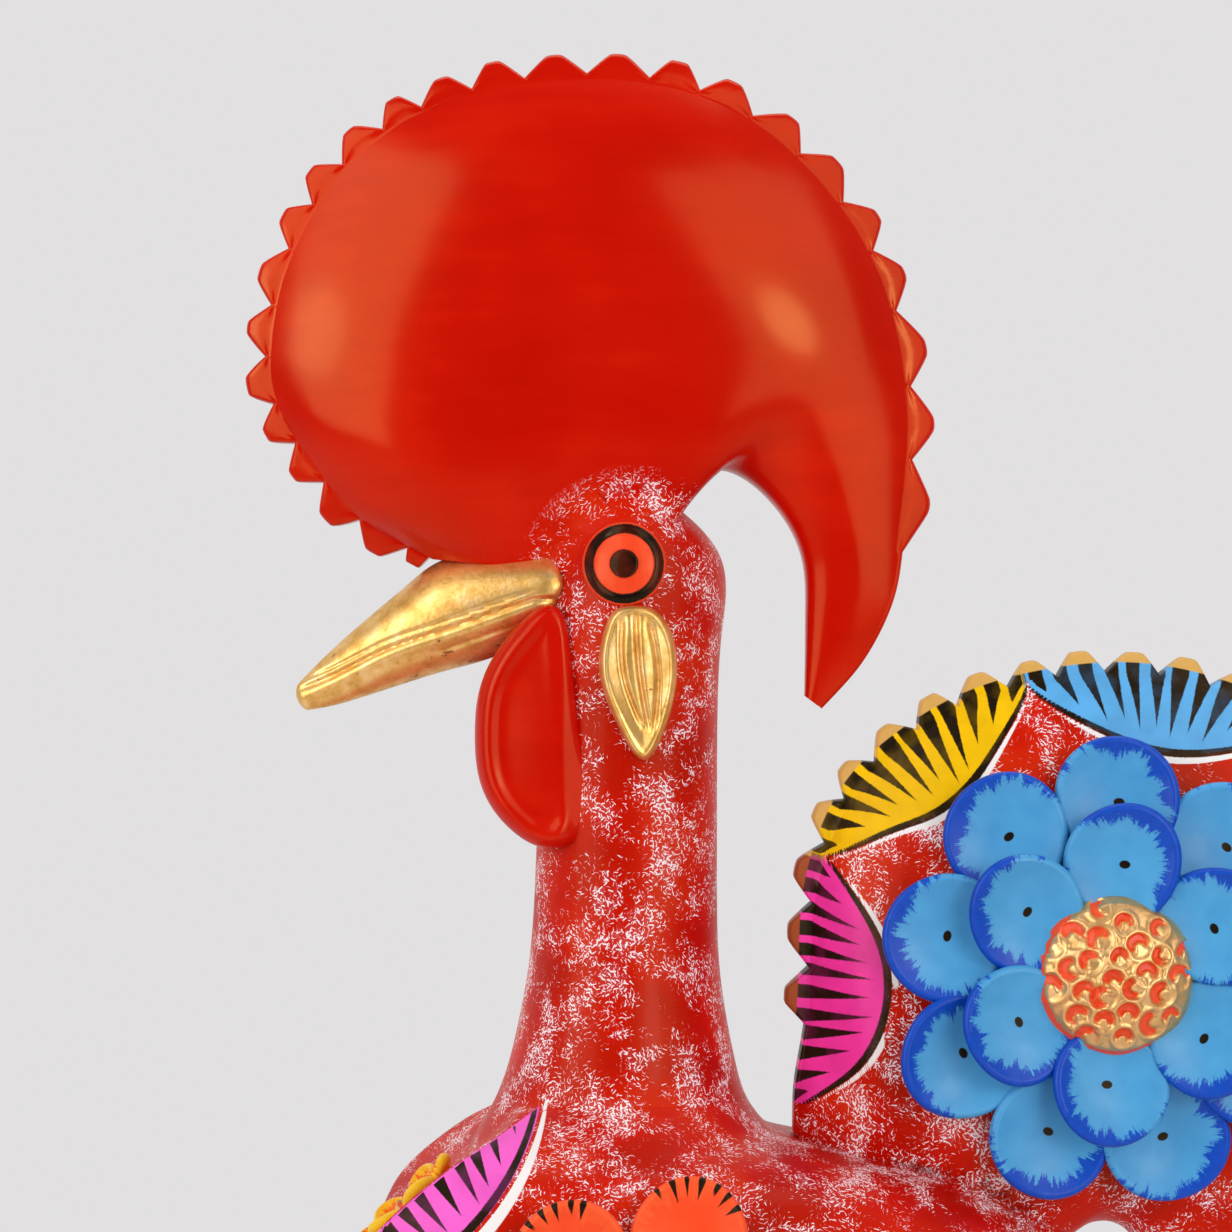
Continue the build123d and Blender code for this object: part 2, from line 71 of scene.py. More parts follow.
# %% Smooth lines
def spline(values, at, knots=None):
    """Natural cubic spline through rows of values, one cubic per span, with no bend at the two ends."""
    values = np.asarray(values, float)
    knots = np.arange(len(values), dtype=float) if knots is None else np.asarray(knots, float)
    at = np.asarray(at, float)
    gap = np.diff(knots)
    inner = np.arange(1, len(values) - 1)
    system = np.eye(len(values))
    system[inner, inner - 1] = gap[:-1]
    system[inner, inner] = 2 * (gap[:-1] + gap[1:])
    system[inner, inner + 1] = gap[1:]
    right = np.zeros_like(values)
    right[1:-1] = 6 * np.diff(np.diff(values, axis=0) / gap[:, None], axis=0)
    bend = np.linalg.solve(system, right)
    k = np.clip(np.searchsorted(knots, at, side="right") - 1, 0, len(values) - 2)
    a = ((knots[k + 1] - at) / gap[k])[..., None]
    b = ((at - knots[k]) / gap[k])[..., None]
    curve = (a**3 - a) * bend[k] + (b**3 - b) * bend[k + 1]
    return a * values[k] + b * values[k + 1] + curve * (gap[k] ** 2)[..., None] / 6


def closed_spline(points, count):
    """Closed smooth curve: the points are repeated on both sides of one turn, and that turn is kept."""
    points = np.asarray(points, float)
    around = np.vstack([points[-4:], points, points[:5]])
    chord = np.concatenate([[0], np.cumsum(np.linalg.norm(np.diff(around, axis=0), axis=1))])
    return spline(around, np.linspace(chord[4], chord[4 + len(points)], count + 1)[:-1], chord)


print("halfway between 1 and 4 on a smooth line", spline([[0], [1], [4]], [1.5]).ravel().round(2))

# %% [markdown]
# Soft forms of max and min join two forms with a rounded fillet instead of a hard line, as a wet finger
# does along a seam. A Boolean with a bevel could do that too, but it breaks easily where the forms are
# curved, and a soft maximum of two heights never does.


# %% Fillets
def soft_max(a, b, k):
    """The larger of two values, with a fillet k wide where they cross."""
    return np.maximum(a, b) + np.maximum(k - np.abs(a - b), 0) ** 2 / (4 * k)


def soft_min(a, b, k):
    """The smaller of two values, with a fillet k wide where they cross."""
    return -soft_max(-a, -b, k)


def rise(a, b, x):
    """0 below a, 1 above b, and a smooth S between."""
    t = np.clip((x - a) / (b - a), 0, 1)
    return t * t * (3 - 2 * t)


print("two equal heights meet with a fillet of 0.4 at", soft_max(1.0, 1.0, 0.4))

# %% [markdown]
# A skin is one or more grids of points. Points that fall on each other are welded, which closes seams
# and poles, and the faces are turned outwards, because a closed skin takes the light evenly and leaves
# no hole.


# %% Welding
WELD, SLIVER = 2e-6, 1e-7     # metres: points this close are one, and thinner faces are taken out


def stacked(*parts):
    """Coordinates brought to one shape and stacked as the last axis, which makes points of them."""
    return np.stack(np.broadcast_arrays(*parts), axis=-1)


def close_up(mesh):
    """Welds points that fall on each other, turns the faces outwards and counts the edges left open."""
    shell = bmesh.new()
    shell.from_mesh(mesh)
    bmesh.ops.remove_doubles(shell, verts=shell.verts, dist=WELD)
    bmesh.ops.dissolve_degenerate(shell, dist=SLIVER, edges=shell.edges)
    bmesh.ops.recalc_face_normals(shell, faces=shell.faces)
    loose = [v for v in shell.verts if not v.link_faces]
    bmesh.ops.delete(shell, geom=loose, context="VERTS")
    open_edges = sum(not e.is_manifold for e in shell.edges)
    shell.to_mesh(mesh)
    shell.free()
    return open_edges


print("a point", stacked(0, 1, 2), "is welded to others within", WELD / MM, "mm")

# %% [markdown]
# One function turns the grids into a mesh, with quads between neighbours. Modifiers could make many of
# these forms, but in a grid the place of every point is known. So values that the paint follows, such as
# the distance from a rim, can be kept on the points as attributes.


# %% Surfaces
def surface(name, grids, marks=None, crease=40.0):
    """Mesh of one or more grids of points in mm, with marks as {attribute: one array per grid}."""
    points, faces, start = [], [], 0
    for grid in grids:
        index = start + np.arange(grid.shape[0] * grid.shape[1]).reshape(grid.shape[:2])
        points.append(grid.reshape(-1, 3))
        faces.append(stacked(index[:-1, :-1], index[1:, :-1], index[1:, 1:], index[:-1, 1:]).reshape(-1, 4))
        start += index.size
    mesh = bpy.data.meshes.new(name)
    mesh.from_pydata((np.vstack(points) * MM).tolist(), [], np.vstack(faces).tolist())
    for mark, values in (marks or {}).items():
        flat = np.concatenate([np.asarray(v, float).reshape(-1, v.shape[-1]) for v in values])
        kind, key = ("FLOAT_VECTOR", "vector") if flat.shape[1] == 3 else ("FLOAT_COLOR", "color")
        mesh.attributes.new(mark, kind, "POINT").data.foreach_set(key, flat.ravel().astype(np.float32))
    open_edges = close_up(mesh)
    mesh.polygons.foreach_set("use_smooth", np.ones(len(mesh.polygons), bool))
    mesh.set_sharp_from_angle(angle=np.radians(crease))
    piece = bpy.data.objects.new(name, mesh)
    bpy.context.scene.collection.objects.link(piece)
    print(name, len(mesh.vertices), "points", len(mesh.polygons), "faces", open_edges, "open edges")
    return piece


# %% [markdown]
# Every skin gets its material, and the clay pieces it stands for are hidden. What lies on the sides of the
# bird is made once, for the left, and mirrored. A mirror modifier would join both sides in one object,
# and here each side stands for a piece of its own.


# %% Laying skins
def lay(piece, material, slot, *nodes):
    """Gives a skin its material, hangs it on the root and hides the clay pieces it stands for."""
    piece.data.materials.append(material)
    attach(piece, "root")
    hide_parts(*nodes)


def pair(name, grids, material, slot, node, marks=None, crease=40.0, both=True):
    """The same skin on the left and, mirrored, on the right, or once for a piece in the middle."""
    for hand, way in ((("_left", 1), ("_right", -1)) if both else (("", 1),)):
        piece = surface(name + hand, [g * np.array([1, way, 1]) for g in grids], marks, crease)
        lay(piece, material, slot, node + hand)


def capped(grid, first, last):
    """Grid with a middle point added before its first row and after its last one, which closes it."""
    low, high = (np.broadcast_to(np.array(end, float), (1, *grid.shape[1:])) for end in (first, last))
    return np.concatenate([low, grid, high])


# %% [markdown]
# Colours are written as the hex values a paint chart would show. Shaders reckon in linear light, so each
# colour is turned to that once, where it is named.


# %% Colours
def linear(code):
    """sRGB hex to linear RGBA: c/12.92 near black, else ((c + 0.055)/1.055) to the power 2.4."""
    c = np.array([int(code[i:i + 2], 16) for i in (1, 3, 5)]) / 255
    c = np.where(c <= 0.04045, c / 12.92, ((c + 0.055) / 1.055) ** 2.4)
    return (*c.tolist(), 1.0)


print("mid grey in linear light", round(linear("#808080")[0], 3))

# %% [markdown]
# A material is a tree of nodes. It could be drawn by hand in the shader editor, but in a script each
# step can be read again. One function adds a node, sets it and links it, so that a line of the script is
# a node of the tree.


# %% Nodes
def add(tree, kind, *values, named=None, stops=(), **settings):
    """Adds a node, sets its properties and fills its live inputs, in order or by name, with links or values.

    A word after the kind is its operation or its type of data. A node given as a value stands for its
    first live output, and None leaves an input as it is. Stops are a ramp's places and colours.
    """
    kind, _, mode = kind.partition(" ")
    node = tree.nodes.new("ShaderNode" + kind)
    if mode:
        settings["operation" if hasattr(node, "operation") else "data_type"] = mode
    for key, value in settings.items():
        setattr(node, key, value)
    filled = list(zip([socket for socket in node.inputs if socket.enabled], values))
    filled += [(node.inputs[key], value) for key, value in (named or {}).items()]
    for socket, value in filled:
        if isinstance(value, bpy.types.Node):
            value = next(out for out in value.outputs if out.enabled)
        if isinstance(value, bpy.types.NodeSocket):
            tree.links.new(value, socket)
        elif value is not None:
            socket.default_value = value
    for position, _ in stops[1:-1]:
        node.color_ramp.elements.new(position)
    for k, (position, colour) in enumerate(stops):
        node.color_ramp.elements[k].position = position
        node.color_ramp.elements[k].color = colour
    return node


def new_material(name):
    """Empty node material, its tree, and the place on the object in metres that patterns follow."""
    material = bpy.data.materials.new(name)
    material.use_nodes = True
    tree = material.node_tree
    tree.nodes.clear()
    return material, tree, add(tree, "TexCoord").outputs["Object"]


# %% [markdown]
# The red is a brushed lacquer under amber varnish. A brush leaves soft long streaks in the colour and
# almost no relief. A picture of lacquer could be laid on, but it would repeat, so a noise drawn out
# along the brush makes the streaks. The varnish gives warm reflections of the studio's soft boxes, and a
# thin gloss coat lies on it.


# %% Lacquer
PER_MM = 1000.0     # Object coordinates are in metres: a pattern of one cycle per mm has this scale
RED_DEEP, RED_MID, RED_WARM = linear("#BE0600"), linear("#C60B01"), linear("#CE1404")
VARNISH = linear("#FFC468")


def brush_space(tree, place):
    """The place drawn out five times along X, the way the brush went."""
    return add(tree, "Mapping", named={"Vector": place, "Scale": (0.2, 1.0, 1.0)})


def brushed_red(tree, place):
    """Red lacquer's colour: 40 mm patches and a share of 6 mm streaks of soft noise, through a ramp."""
    patch = add(tree, "TexNoise", place, PER_MM / 40, 2.0)
    streak = add(tree, "TexNoise", brush_space(tree, place), PER_MM / 6, 4.0)
    both = add(tree, "Mix", 0.3, patch, streak)
    return add(tree, "ValToRGB", both, stops=((0.36, RED_DEEP), (0.52, RED_MID), (0.64, RED_WARM)))


def bristles(tree, place):
    """Relief of the bristles, 1.6 mm apart."""
    return add(tree, "TexNoise", brush_space(tree, place), PER_MM / 1.6, 2.0)


def glossy(tree, colour, relief, rough=0.3, coat=0.1, bump=0.1, depth=0.2 * MM, shine=0.5):
    """Painted clay under varnish: a dielectric of index 1.5 with warm reflections and a thin gloss coat."""
    dent = add(tree, "Bump", named={"Strength": bump, "Distance": depth, "Height": relief})
    shade = add(tree, "BsdfPrincipled", named={
        "Base Color": colour, "Roughness": rough, "IOR": 1.5, "Specular IOR Level": shine,
        "Specular Tint": VARNISH, "Coat Weight": coat, "Coat Roughness": 0.12,
        "Normal": dent, "Coat Normal": dent,
    })
    add(tree, "OutputMaterial", shade)


# thin lacquer on the wattles: a soft warm shine over a plain red
satin_red, tree, place = new_material("red_satin_lacquer")
glossy(tree, brushed_red(tree, place), bristles(tree, place), rough=0.24, shine=0.32)
print("material", satin_red.name)

# %% [markdown]
# The flecks are white paint dabbed on with a dry brush: each bristle leaves a dash a millimetre long,
# thick in some dabs and thin in others. As meshes they would be too many, and a noise alone gives only
# clouds, so each dash is drawn in the shader. The nearest point of a cell pattern is its middle, the
# cell's random colour turns it, mostly as its neighbours lie, and the distance to its core gives the
# mark. A slow noise makes the dashes thicker or thinner, so that dabs and gaps appear.


# %% Flecks
DASHES = ((1.75, 0.66 * MM), (1.2, 0.45 * MM))     # size of the cells in mm, half length of a dash
CENTRE = (0.5, 0.5, 0.5)     # the middle of a random colour


def dash(tree, place, sway, normal, width, cell, half):
    """Width of one dash less the distance to its core, the line from -half to half round the cell's point.

    Everything is laid flat in the skin, by taking away what lies along its normal.
    """
    spot = add(tree, "TexVoronoi", place, PER_MM / cell)
    local = add(tree, "VectorMath SUBTRACT", place, spot.outputs["Position"])
    turn = add(tree, "VectorMath SUBTRACT", spot.outputs["Color"], CENTRE)
    lie = add(tree, "VectorMath MULTIPLY_ADD", sway, (2, 2, 2), turn)
    flat = []
    for arrow in (local, lie):
        upright = add(tree, "VectorMath PROJECT", arrow, normal)
        flat.append(add(tree, "VectorMath SUBTRACT", arrow, upright))
    way = add(tree, "VectorMath NORMALIZE", flat[1])
    along = add(tree, "VectorMath DOT_PRODUCT", flat[0], way)
    core = add(tree, "VectorMath SCALE", way, add(tree, "Clamp", along, -half, half))
    gap = add(tree, "VectorMath DISTANCE", flat[0], core)
    chance = add(tree, "SeparateColor", spot.outputs["Color"])
    far = add(tree, "Math MULTIPLY_ADD", chance, 0.24 * MM, gap)
    return add(tree, "Math SUBTRACT", width, far)


def flecks(tree, place):
    """Mask of the dashes, cut where they are wider than the distance, and of the haze that a dab leaves."""
    swirl = add(tree, "TexNoise", place, PER_MM / 6, 1.0)
    sway = add(tree, "VectorMath SUBTRACT", swirl.outputs["Color"], CENTRE)
    dab = add(tree, "TexNoise", place, PER_MM / 11, 3.5, 0.62)
    width = add(tree, "MapRange", dab, 0.36, 0.66, -0.02 * MM, 0.31 * MM)
    normal = add(tree, "NewGeometry").outputs["Normal"]
    marks = [dash(tree, place, sway, normal, width, *size) for size in DASHES]
    best = add(tree, "Math MAXIMUM", *marks)
    mask = add(tree, "MapRange", best, -0.05 * MM, 0.06 * MM, interpolation_type="SMOOTHSTEP")
    return mask, add(tree, "MapRange", dab, 0.52, 0.72, 0.0, 0.15)


print("dashes", [round(2 * half / MM, 2) for _, half in DASHES], "mm long")

# %% [markdown]
# The flecked red has deep and orange patches under the white. On the comb the flecks stop at the brow:
# the flecked head is matt, and from there the comb runs over into a plain red with a strong gloss. Two
# materials would meet in a hard line, so one material changes with the distance from the head.


# %% Flecked lacquer
RED_DUSK, RED_ORANGE = linear("#960400"), linear("#D8380E")
FLECK, FLECK_PINK = linear("#F3E6EA"), linear("#DE9CA4")
HEAD_SPOT = (-0.046, 0, 0.452)


def flecked(tree, place):
    """Brushed lacquer with deep and orange patches of 22 mm, a pink haze and white dashes; and their mask."""
    patch = add(tree, "TexNoise", place, PER_MM / 22, 1.0)
    dusk = add(tree, "MapRange", patch, 0.54, 0.34, 0.0, 0.4)
    glow = add(tree, "MapRange", patch, 0.52, 0.72, 0.0, 0.4)
    deep = add(tree, "Mix RGBA", dusk, brushed_red(tree, place), RED_DUSK)
    base = add(tree, "Mix RGBA", glow, deep, RED_ORANGE)
    mask, haze = flecks(tree, place)
    hazy = add(tree, "Mix RGBA", haze, base, FLECK_PINK)
    tint = add(tree, "Mix RGBA", mask, FLECK_PINK, FLECK)
    return add(tree, "Mix RGBA", mask, hazy, tint), mask


# dabbed paint on neck and head: matt, so that the white stays white and the red stays full
flecked_red, tree, place = new_material("flecked_red_lacquer")
glossy(tree, *flecked(tree, place), rough=0.42, coat=0.06, bump=0.25, depth=0.1 * MM, shine=0.25)

# the comb: gloss with clear reflections, running out into the matt flecks round the eye
comb_red, tree, place = new_material("red_lacquer_flecked_at_head")
x, _, z = add(tree, "SeparateXYZ", place).outputs
far = add(tree, "VectorMath DISTANCE", add(tree, "CombineXYZ", x, None, z), HEAD_SPOT)
plain = add(tree, "MapRange", far, 28 * MM, 34 * MM)
rough = add(tree, "MapRange", far, 26 * MM, 50 * MM, 0.5, 0.19)
shine = add(tree, "MapRange", far, 30 * MM, 60 * MM, 0.1, 0.5)
both = add(tree, "Mix RGBA", plain, flecked(tree, place)[0], brushed_red(tree, place))
glossy(tree, both, bristles(tree, place), rough, coat=0.03, bump=0.2, depth=0.1 * MM, shine=shine)
print("materials", flecked_red.name, comb_red.name)

# %% [markdown]
# Gold leaf on the beak, ear lobes and legs is a thin beaten metal over red-brown bole. It is shiny but
# uneven, rubbed through at a few places, and it shows every small dent of the clay. An even metal would
# look like sheet brass, so colour and metal follow the wear, and the gloss follows the mottled leaf. On
# faces turned down the bole shows a little more, as painted shade.


# %% Gold leaf
GOLDS = ((0.3, linear("#CE9846")), (0.48, linear("#F0BA66")), (0.66, linear("#FCD08A")))
BOLE = linear("#8E3A16")


def leaf(tree, place):
    """Gold leaf's colour, metal share, roughness and relief.

    Golds are mottled at 5 mm. The leaf is rubbed through to bole where a 3 mm noise peaks, and the bole
    shows a little more on faces turned down, as painted shade.
    """
    mottle = add(tree, "TexNoise", place, PER_MM / 5, 5.0, 0.65)
    rub = add(tree, "TexNoise", place, PER_MM / 3, 6.0, 0.75)
    up = add(tree, "SeparateXYZ", add(tree, "NewGeometry").outputs["Normal"]).outputs["Z"]
    # painted shade: faces turned down get up to 0.05 more bole, so the undersides of the gilding read darker
    under = add(tree, "MapRange", up, -0.3, -0.95, 0.0, 0.05)
    wear_and_shade = add(tree, "MapRange", add(tree, "Math ADD", rub, under), 0.63, 0.69)
    gilt = add(tree, "Mix RGBA", wear_and_shade, add(tree, "ValToRGB", mottle, stops=GOLDS), BOLE)
    metal = add(tree, "MapRange", wear_and_shade, 0.0, 1.0, 0.8, 0.1)
    rough = add(tree, "MapRange", mottle, 0.3, 0.7, 0.42, 0.3)
    grain = add(tree, "TexNoise", place, PER_MM / 0.9, 3.0)
    return gilt, metal, rough, add(tree, "Mix", 0.35, mottle, grain)


def gilded(tree, colour, metal, rough, relief, bump):
    """Shader of leaf: a metal where the leaf is whole, with dents half a millimetre deep."""
    dent = add(tree, "Bump", named={"Strength": bump, "Distance": 0.5 * MM, "Height": relief})
    shade = add(tree, "BsdfPrincipled", named={
        "Base Color": colour, "Metallic": metal, "Roughness": rough, "Normal": dent,
    })
    add(tree, "OutputMaterial", shade)


# warm metal that catches the light unevenly, with red-brown specks of bole, more of them on faces turned down
# as painted shade
gold_leaf, tree, place = new_material("gold_leaf_on_bole")
gilded(tree, *leaf(tree, place), bump=0.35)
print("material", gold_leaf.name)

# %% [markdown]
# The belly is a fat egg with a square breast, cut off in front by a flat shield. The neck rises out of
# it as a skirt that narrows to a tube and a small head. They could be sculpted, but as stacks of level
# sections they follow the side view exactly, with a few heights and widths.

# %% Belly and neck sections
# height, breast side, tail side, half width
BELLY = [
    (128, -40, 14, 22), (136, -60, 30, 38), (152, -79, 45, 51), (174, -95, 58, 62), (200, -107, 68, 70),
    (228, -114, 74, 73), (250, -117, 76, 72), (264, -121, 74.5, 70), (275, -130, 69, 67),
    (284, -137, 57, 63), (293, -130, 31, 57), (301, -117, -9, 46), (307, -98, -18, 32),
    (313, -82, -28, 16),
]
NECK = [
    (272, -98, 7, 56), (286, -95.5, 2, 50), (298, -91.5, -6, 43), (308, -86, -14, 37.5),
    (318, -82, -17.7, 33.5), (330, -79, -20.2, 30.3), (345, -76.2, -22.4, 27.5),
    (365, -74.4, -23.2, 25.5), (395, -73.2, -23.2, 24.8), (420, -72.5, -23, 25), (440, -73, -21.8, 26),
    (452, -71.5, -20.7, 26), (462, -68.5, -22.8, 25), (470, -64, -29, 22), (476, -58, -36, 16),
]
BREAST_BLUNT, RUMP_BLUNT = 3.2, 2.3     # 2 is an ellipse, more is squarer
SMALL = 0.01     # the least half length of a section


def levels(table, z):
    """Breast side, tail side and half width at heights z, by a spline through the table."""
    table = np.array(table, float)
    return np.moveaxis(spline(table[:, 1:], z, table[:, 0]), -1, 0)


print("neck at 400 mm, breast side, tail side, half width", levels(NECK, np.array([400.0])).ravel().round(1))

# %% [markdown]
# So the skin is a radius at each height and angle. A rounded square has no plain formula for that, so
# the furthest point that is still inside is found by halving, for all points at once.


# %% Sections to radii
SEARCH, HALVINGS = 250.0, 36


def furthest(inside, shape):
    """Largest radius still inside along each ray: the room between a near and a far radius is halved."""
    near, far = np.zeros(shape), np.full(shape, SEARCH)
    for _ in range(HALVINGS):
        r = (near + far) / 2
        within = inside(r)
        near, far = np.where(within, r, near), np.where(within, far, r)
    return near


def plan_radius(table, z, centre, angle, breast=2.0, rump=2.0):
    """Distance from a point of the mid-plane to the line |x/a|^n + |y/b|^n = 1 along each angle."""
    front, back, half = (v[:, None] for v in levels(table, z))
    mid, reach = (front + back) / 2, np.maximum((back - front) / 2, SMALL)

    def inside(r):
        """Whether the points at radius r lie within the rounded square."""
        x = (centre[:, None] + r * np.cos(angle) - mid) / reach
        y = r * np.sin(angle) / np.maximum(half, SMALL)
        power = np.where(x < 0, breast, rump)
        return np.abs(x) ** power + np.abs(y) ** power < 1

    return furthest(inside, (len(z), len(angle)))


def side_reach(table, x, z, breast=2.0, rump=2.0):
    """Half width of the stack at points of the side view, below zero outside it."""
    low, high = table[0][0], table[-1][0]
    front, back, half = levels(table, np.clip(z, low, high))
    mid, reach = (front + back) / 2, (back - front) / 2
    across = (x - mid) / reach
    power = np.where(across < 0, breast, rump)
    room = 1 - np.abs(across) ** power
    inside = half * np.maximum(room, 0) ** (1 / power) + reach * np.minimum(room, 0)
    return np.where((z < low) | (z > high), -80.0, inside)


print("half width of the neck at the eye", side_reach(NECK, np.array([-49.3]), np.array([458.6])).round(1))

# %% [markdown]
# The shield is a plane that leans back, dished like a shallow trough across the bird. A Boolean could
# cut it, but then its ridge would be sharp. A soft minimum of the radii rounds the ridge, and a soft
# maximum of belly and neck makes the fillet, which is wider at the sides than in the middle.

# %% Breast shield and joined skin
FACET_FOOT, FACET_HEAD = np.array([-121.5, 276.0]), np.array([-77.0, 317.0])
facet_dir = (FACET_HEAD - FACET_FOOT) / np.linalg.norm(FACET_HEAD - FACET_FOOT)
facet_out = np.array([-facet_dir[1], facet_dir[0]])
FACET_HALF, FACET_DISH = 55.0, 9.0
dish_r = (FACET_HALF**2 + FACET_DISH**2) / (2 * FACET_DISH)
AXIS_X, AXIS_SHIFT = -20.0, -28.0     # the axis of the skin, and how far forward it moves up to the neck


def dish_floor(y):
    """Height of the dished shield over the plane of its ridges: an arc across the bird, level beyond it."""
    y = np.minimum(np.abs(y), FACET_HALF)
    return dish_r - np.sqrt(dish_r**2 - y**2) - FACET_DISH


def shield_radius(z, centre, angle):
    """Distance from the axis to the shield along each angle."""
    def inside(r):
        """Whether the points at radius r lie behind the dished plane."""
        over = facet_out[0] * (centre[:, None] + r * np.cos(angle) - FACET_FOOT[0])
        return over + facet_out[1] * (z[:, None] - FACET_FOOT[1]) < dish_floor(r * np.sin(angle))

    return furthest(inside, (len(z), len(angle)))


def skin_radius(z, angle):
    """Axis and outer skin: the belly, cut softly by the shield and joined to the neck by a fillet."""
    belly_top, neck_foot, neck_top = BELLY[-1][0], NECK[0][0], NECK[-1][0]
    centre = AXIS_X + AXIS_SHIFT * rise(255, 300, z)
    belly = plan_radius(BELLY, np.minimum(z, belly_top), centre, angle, BREAST_BLUNT, RUMP_BLUNT)
    belly = belly * rise(belly_top + 1, belly_top - 4, z)[:, None]
    neck = plan_radius(NECK, np.clip(z, neck_foot, neck_top), centre, angle)
    neck = neck * rise(neck_foot - 14, neck_foot, z)[:, None]
    fillet = 5 + 19 * np.sin(angle) ** 2
    return centre, soft_max(soft_min(belly, shield_radius(z, centre, angle), 2.5), neck, fillet)


print("the dish of the shield has a radius of", round(dish_r, 1), "mm")

# %% [markdown]
# Angles are set closer together where the breast fans are painted, so that their edges stay crisp
# without a fine mesh all over. The belly ends below in a firing vent, which lets the steam out of the
# real one.

# %% Belly and neck grids
turn = np.concatenate([
    np.linspace(0, 100, 50)[:-1], np.linspace(100, 158, 130)[:-1], np.linspace(158, 202, 34)[:-1],
    np.linspace(202, 260, 130)[:-1], np.linspace(260, 360, 51),
])
angles = np.radians(turn)
COLLAR_Z, HEAD_X = 330.0, -47.0
VENT_R, VENT_X, VENT_TOP = 11.0, -13.0, 150.0
FOOT_Z = float(BELLY[0][0])


def ring_grid(z, centre, radius):
    """Points at each height and angle round an axis that leans with the height."""
    return stacked(centre[:, None] + radius * np.cos(angles), radius * np.sin(angles), z[:, None])


body_z = np.concatenate([
    np.linspace(FOOT_Z, 140, 14), np.linspace(142, 268, 54), np.linspace(269, COLLAR_Z, 84),
])
body_centre, body_radius = skin_radius(body_z, angles)
body_grid = ring_grid(body_z, body_centre, body_radius)
vent_z = np.array([VENT_TOP, 130.0, 128.4, FOOT_Z])
vent_r = np.array([VENT_R, VENT_R, VENT_R + 0.4, VENT_R + 1.2])[:, None] + 0 * angles
vent = ring_grid(vent_z, np.full(4, VENT_X), vent_r)
base = ring_grid(np.full(2, FOOT_Z), body_centre[:2], body_radius[:1] * np.array([[0.75], [0.96]]))
body_grid = np.concatenate([vent, base, body_grid])
body_grid = capped(body_grid, (VENT_X, 0, VENT_TOP), (body_centre[-1], 0, COLLAR_Z))

HEAD_TOP = NECK[-1][0]
neck_z = np.concatenate([np.linspace(COLLAR_Z, 462, 100), np.linspace(463, HEAD_TOP, 20)])
neck_centre, neck_radius = skin_radius(neck_z, angles)
neck_grid = ring_grid(neck_z, neck_centre, neck_radius)
neck_grid = capped(neck_grid, (neck_centre[0], 0, COLLAR_Z), (HEAD_X, 0, HEAD_TOP + 3))
print("belly", body_grid.shape, "neck", neck_grid.shape)

# %% [markdown]
# A fan is a coloured field under a row of teeth, with a black border, a white line beyond it and black
# brush strokes that start at the rim. It could be painted on an image, but that would stretch along a
# curved rim. So each point of a skin keeps what the paint needs: how far it lies inside the field, the
# border and the white line, in millimetres and above zero inside, and where it lies in its brush stroke.


# %% Fan ornament
OFF = 9.0     # mm outside a mark, so far that nothing of it shows


def fan_paint(along, deep, first, last, depth, count, bow=0.72, strip=0.0, band=1.9, bold=1.0):
    """Marks of one fan between two places on a rim: field, line and white, each above zero inside, and brush.

    The border is a line drawn along depth*sin(pi*share)^bow. The field reaches past it by the strip, and
    the white band lies beyond that and runs out at both ends. Brush strokes start at the rim and lean to
    the fan's middle. So brush holds the number of the stroke with the place in it, the depth as a share
    of the room, and the pitch.
    """
    span = last - first
    share = np.clip((along - first) / span, 0, 1)
    edge = depth * np.sin(np.pi * share) ** bow
    inside = (along > first) & (along < last)
    slope = np.gradient(edge, axis=0) / np.maximum(np.abs(np.gradient(along, axis=0)), 0.05)
    gap = (edge - deep) / np.minimum(np.sqrt(1 + slope**2), 4)
    taper = np.sin(np.pi * share) ** 0.6
    field = np.where(inside, gap + strip, -OFF)
    line = np.where(inside, 0.5 + 0.7 * taper - np.abs(gap), -OFF)
    white = np.where(inside, band / 2 * taper - np.abs(gap + 1.0 + strip + band / 2 * taper), -OFF)
    lean = np.clip(1.15 * deep / span, 0, 0.6)
    start = (along - (first + last) / 2 * lean) / (1 - lean)
    share = np.clip((start - first) / span, 0.001, 0.999)
    room = depth * np.sin(np.pi * share) ** bow
    reach = np.where((field > 0) & inside, np.clip(deep / np.maximum(room, 0.5), 0, 2), OFF)
    return field, line, white, stacked(share * count, reach, bold * span / count * (1 - lean))


# %% [markdown]
# The marks go on the points as attributes of their mesh. Where a skin has no fan, every mark is far off.


# %% Marks of the paint
def marks_of(field, ink, white, brush, colour, tip=-OFF):
    """Marks as attributes: (field, ink, white), the brush, and the colour with the gilt tip as its alpha."""
    tint = np.empty((*field.shape, 4))
    tint[:] = colour
    tint[..., 3] = tip
    return {"marks": stacked(field, ink, white), "brush": brush, "fan_colour": tint}


def bare_marks(shape, colour):
    """Marks of a skin with no fan on it: every mark is far off, and so is every brush stroke."""
    off = np.full(shape, -OFF)
    return marks_of(off, off, off, np.full((*shape, 3), OFF), colour)


def single(marks):
    """Marks for a surface of one grid."""
    return {key: [value] for key, value in marks.items()}


MAGENTA, ORCHID = linear("#EE35A0"), linear("#F560CC")
YELLOW, SKY = linear("#F2BE08"), linear("#58A9E2")
INK, PAINT_WHITE = linear("#0B0909"), linear("#EFECEA")
COPPER, GILT = linear("#9A4526"), linear("#D2A357")
print("a bare skin's marks", {key: value.shape for key, value in bare_marks((2, 3), YELLOW).items()})

# %% [markdown]
# The breast fan is painted along the ridge between the shield and each flank, so its places are measured
# along the ridge and down from it. It ends where the flank turns into the shield's face.

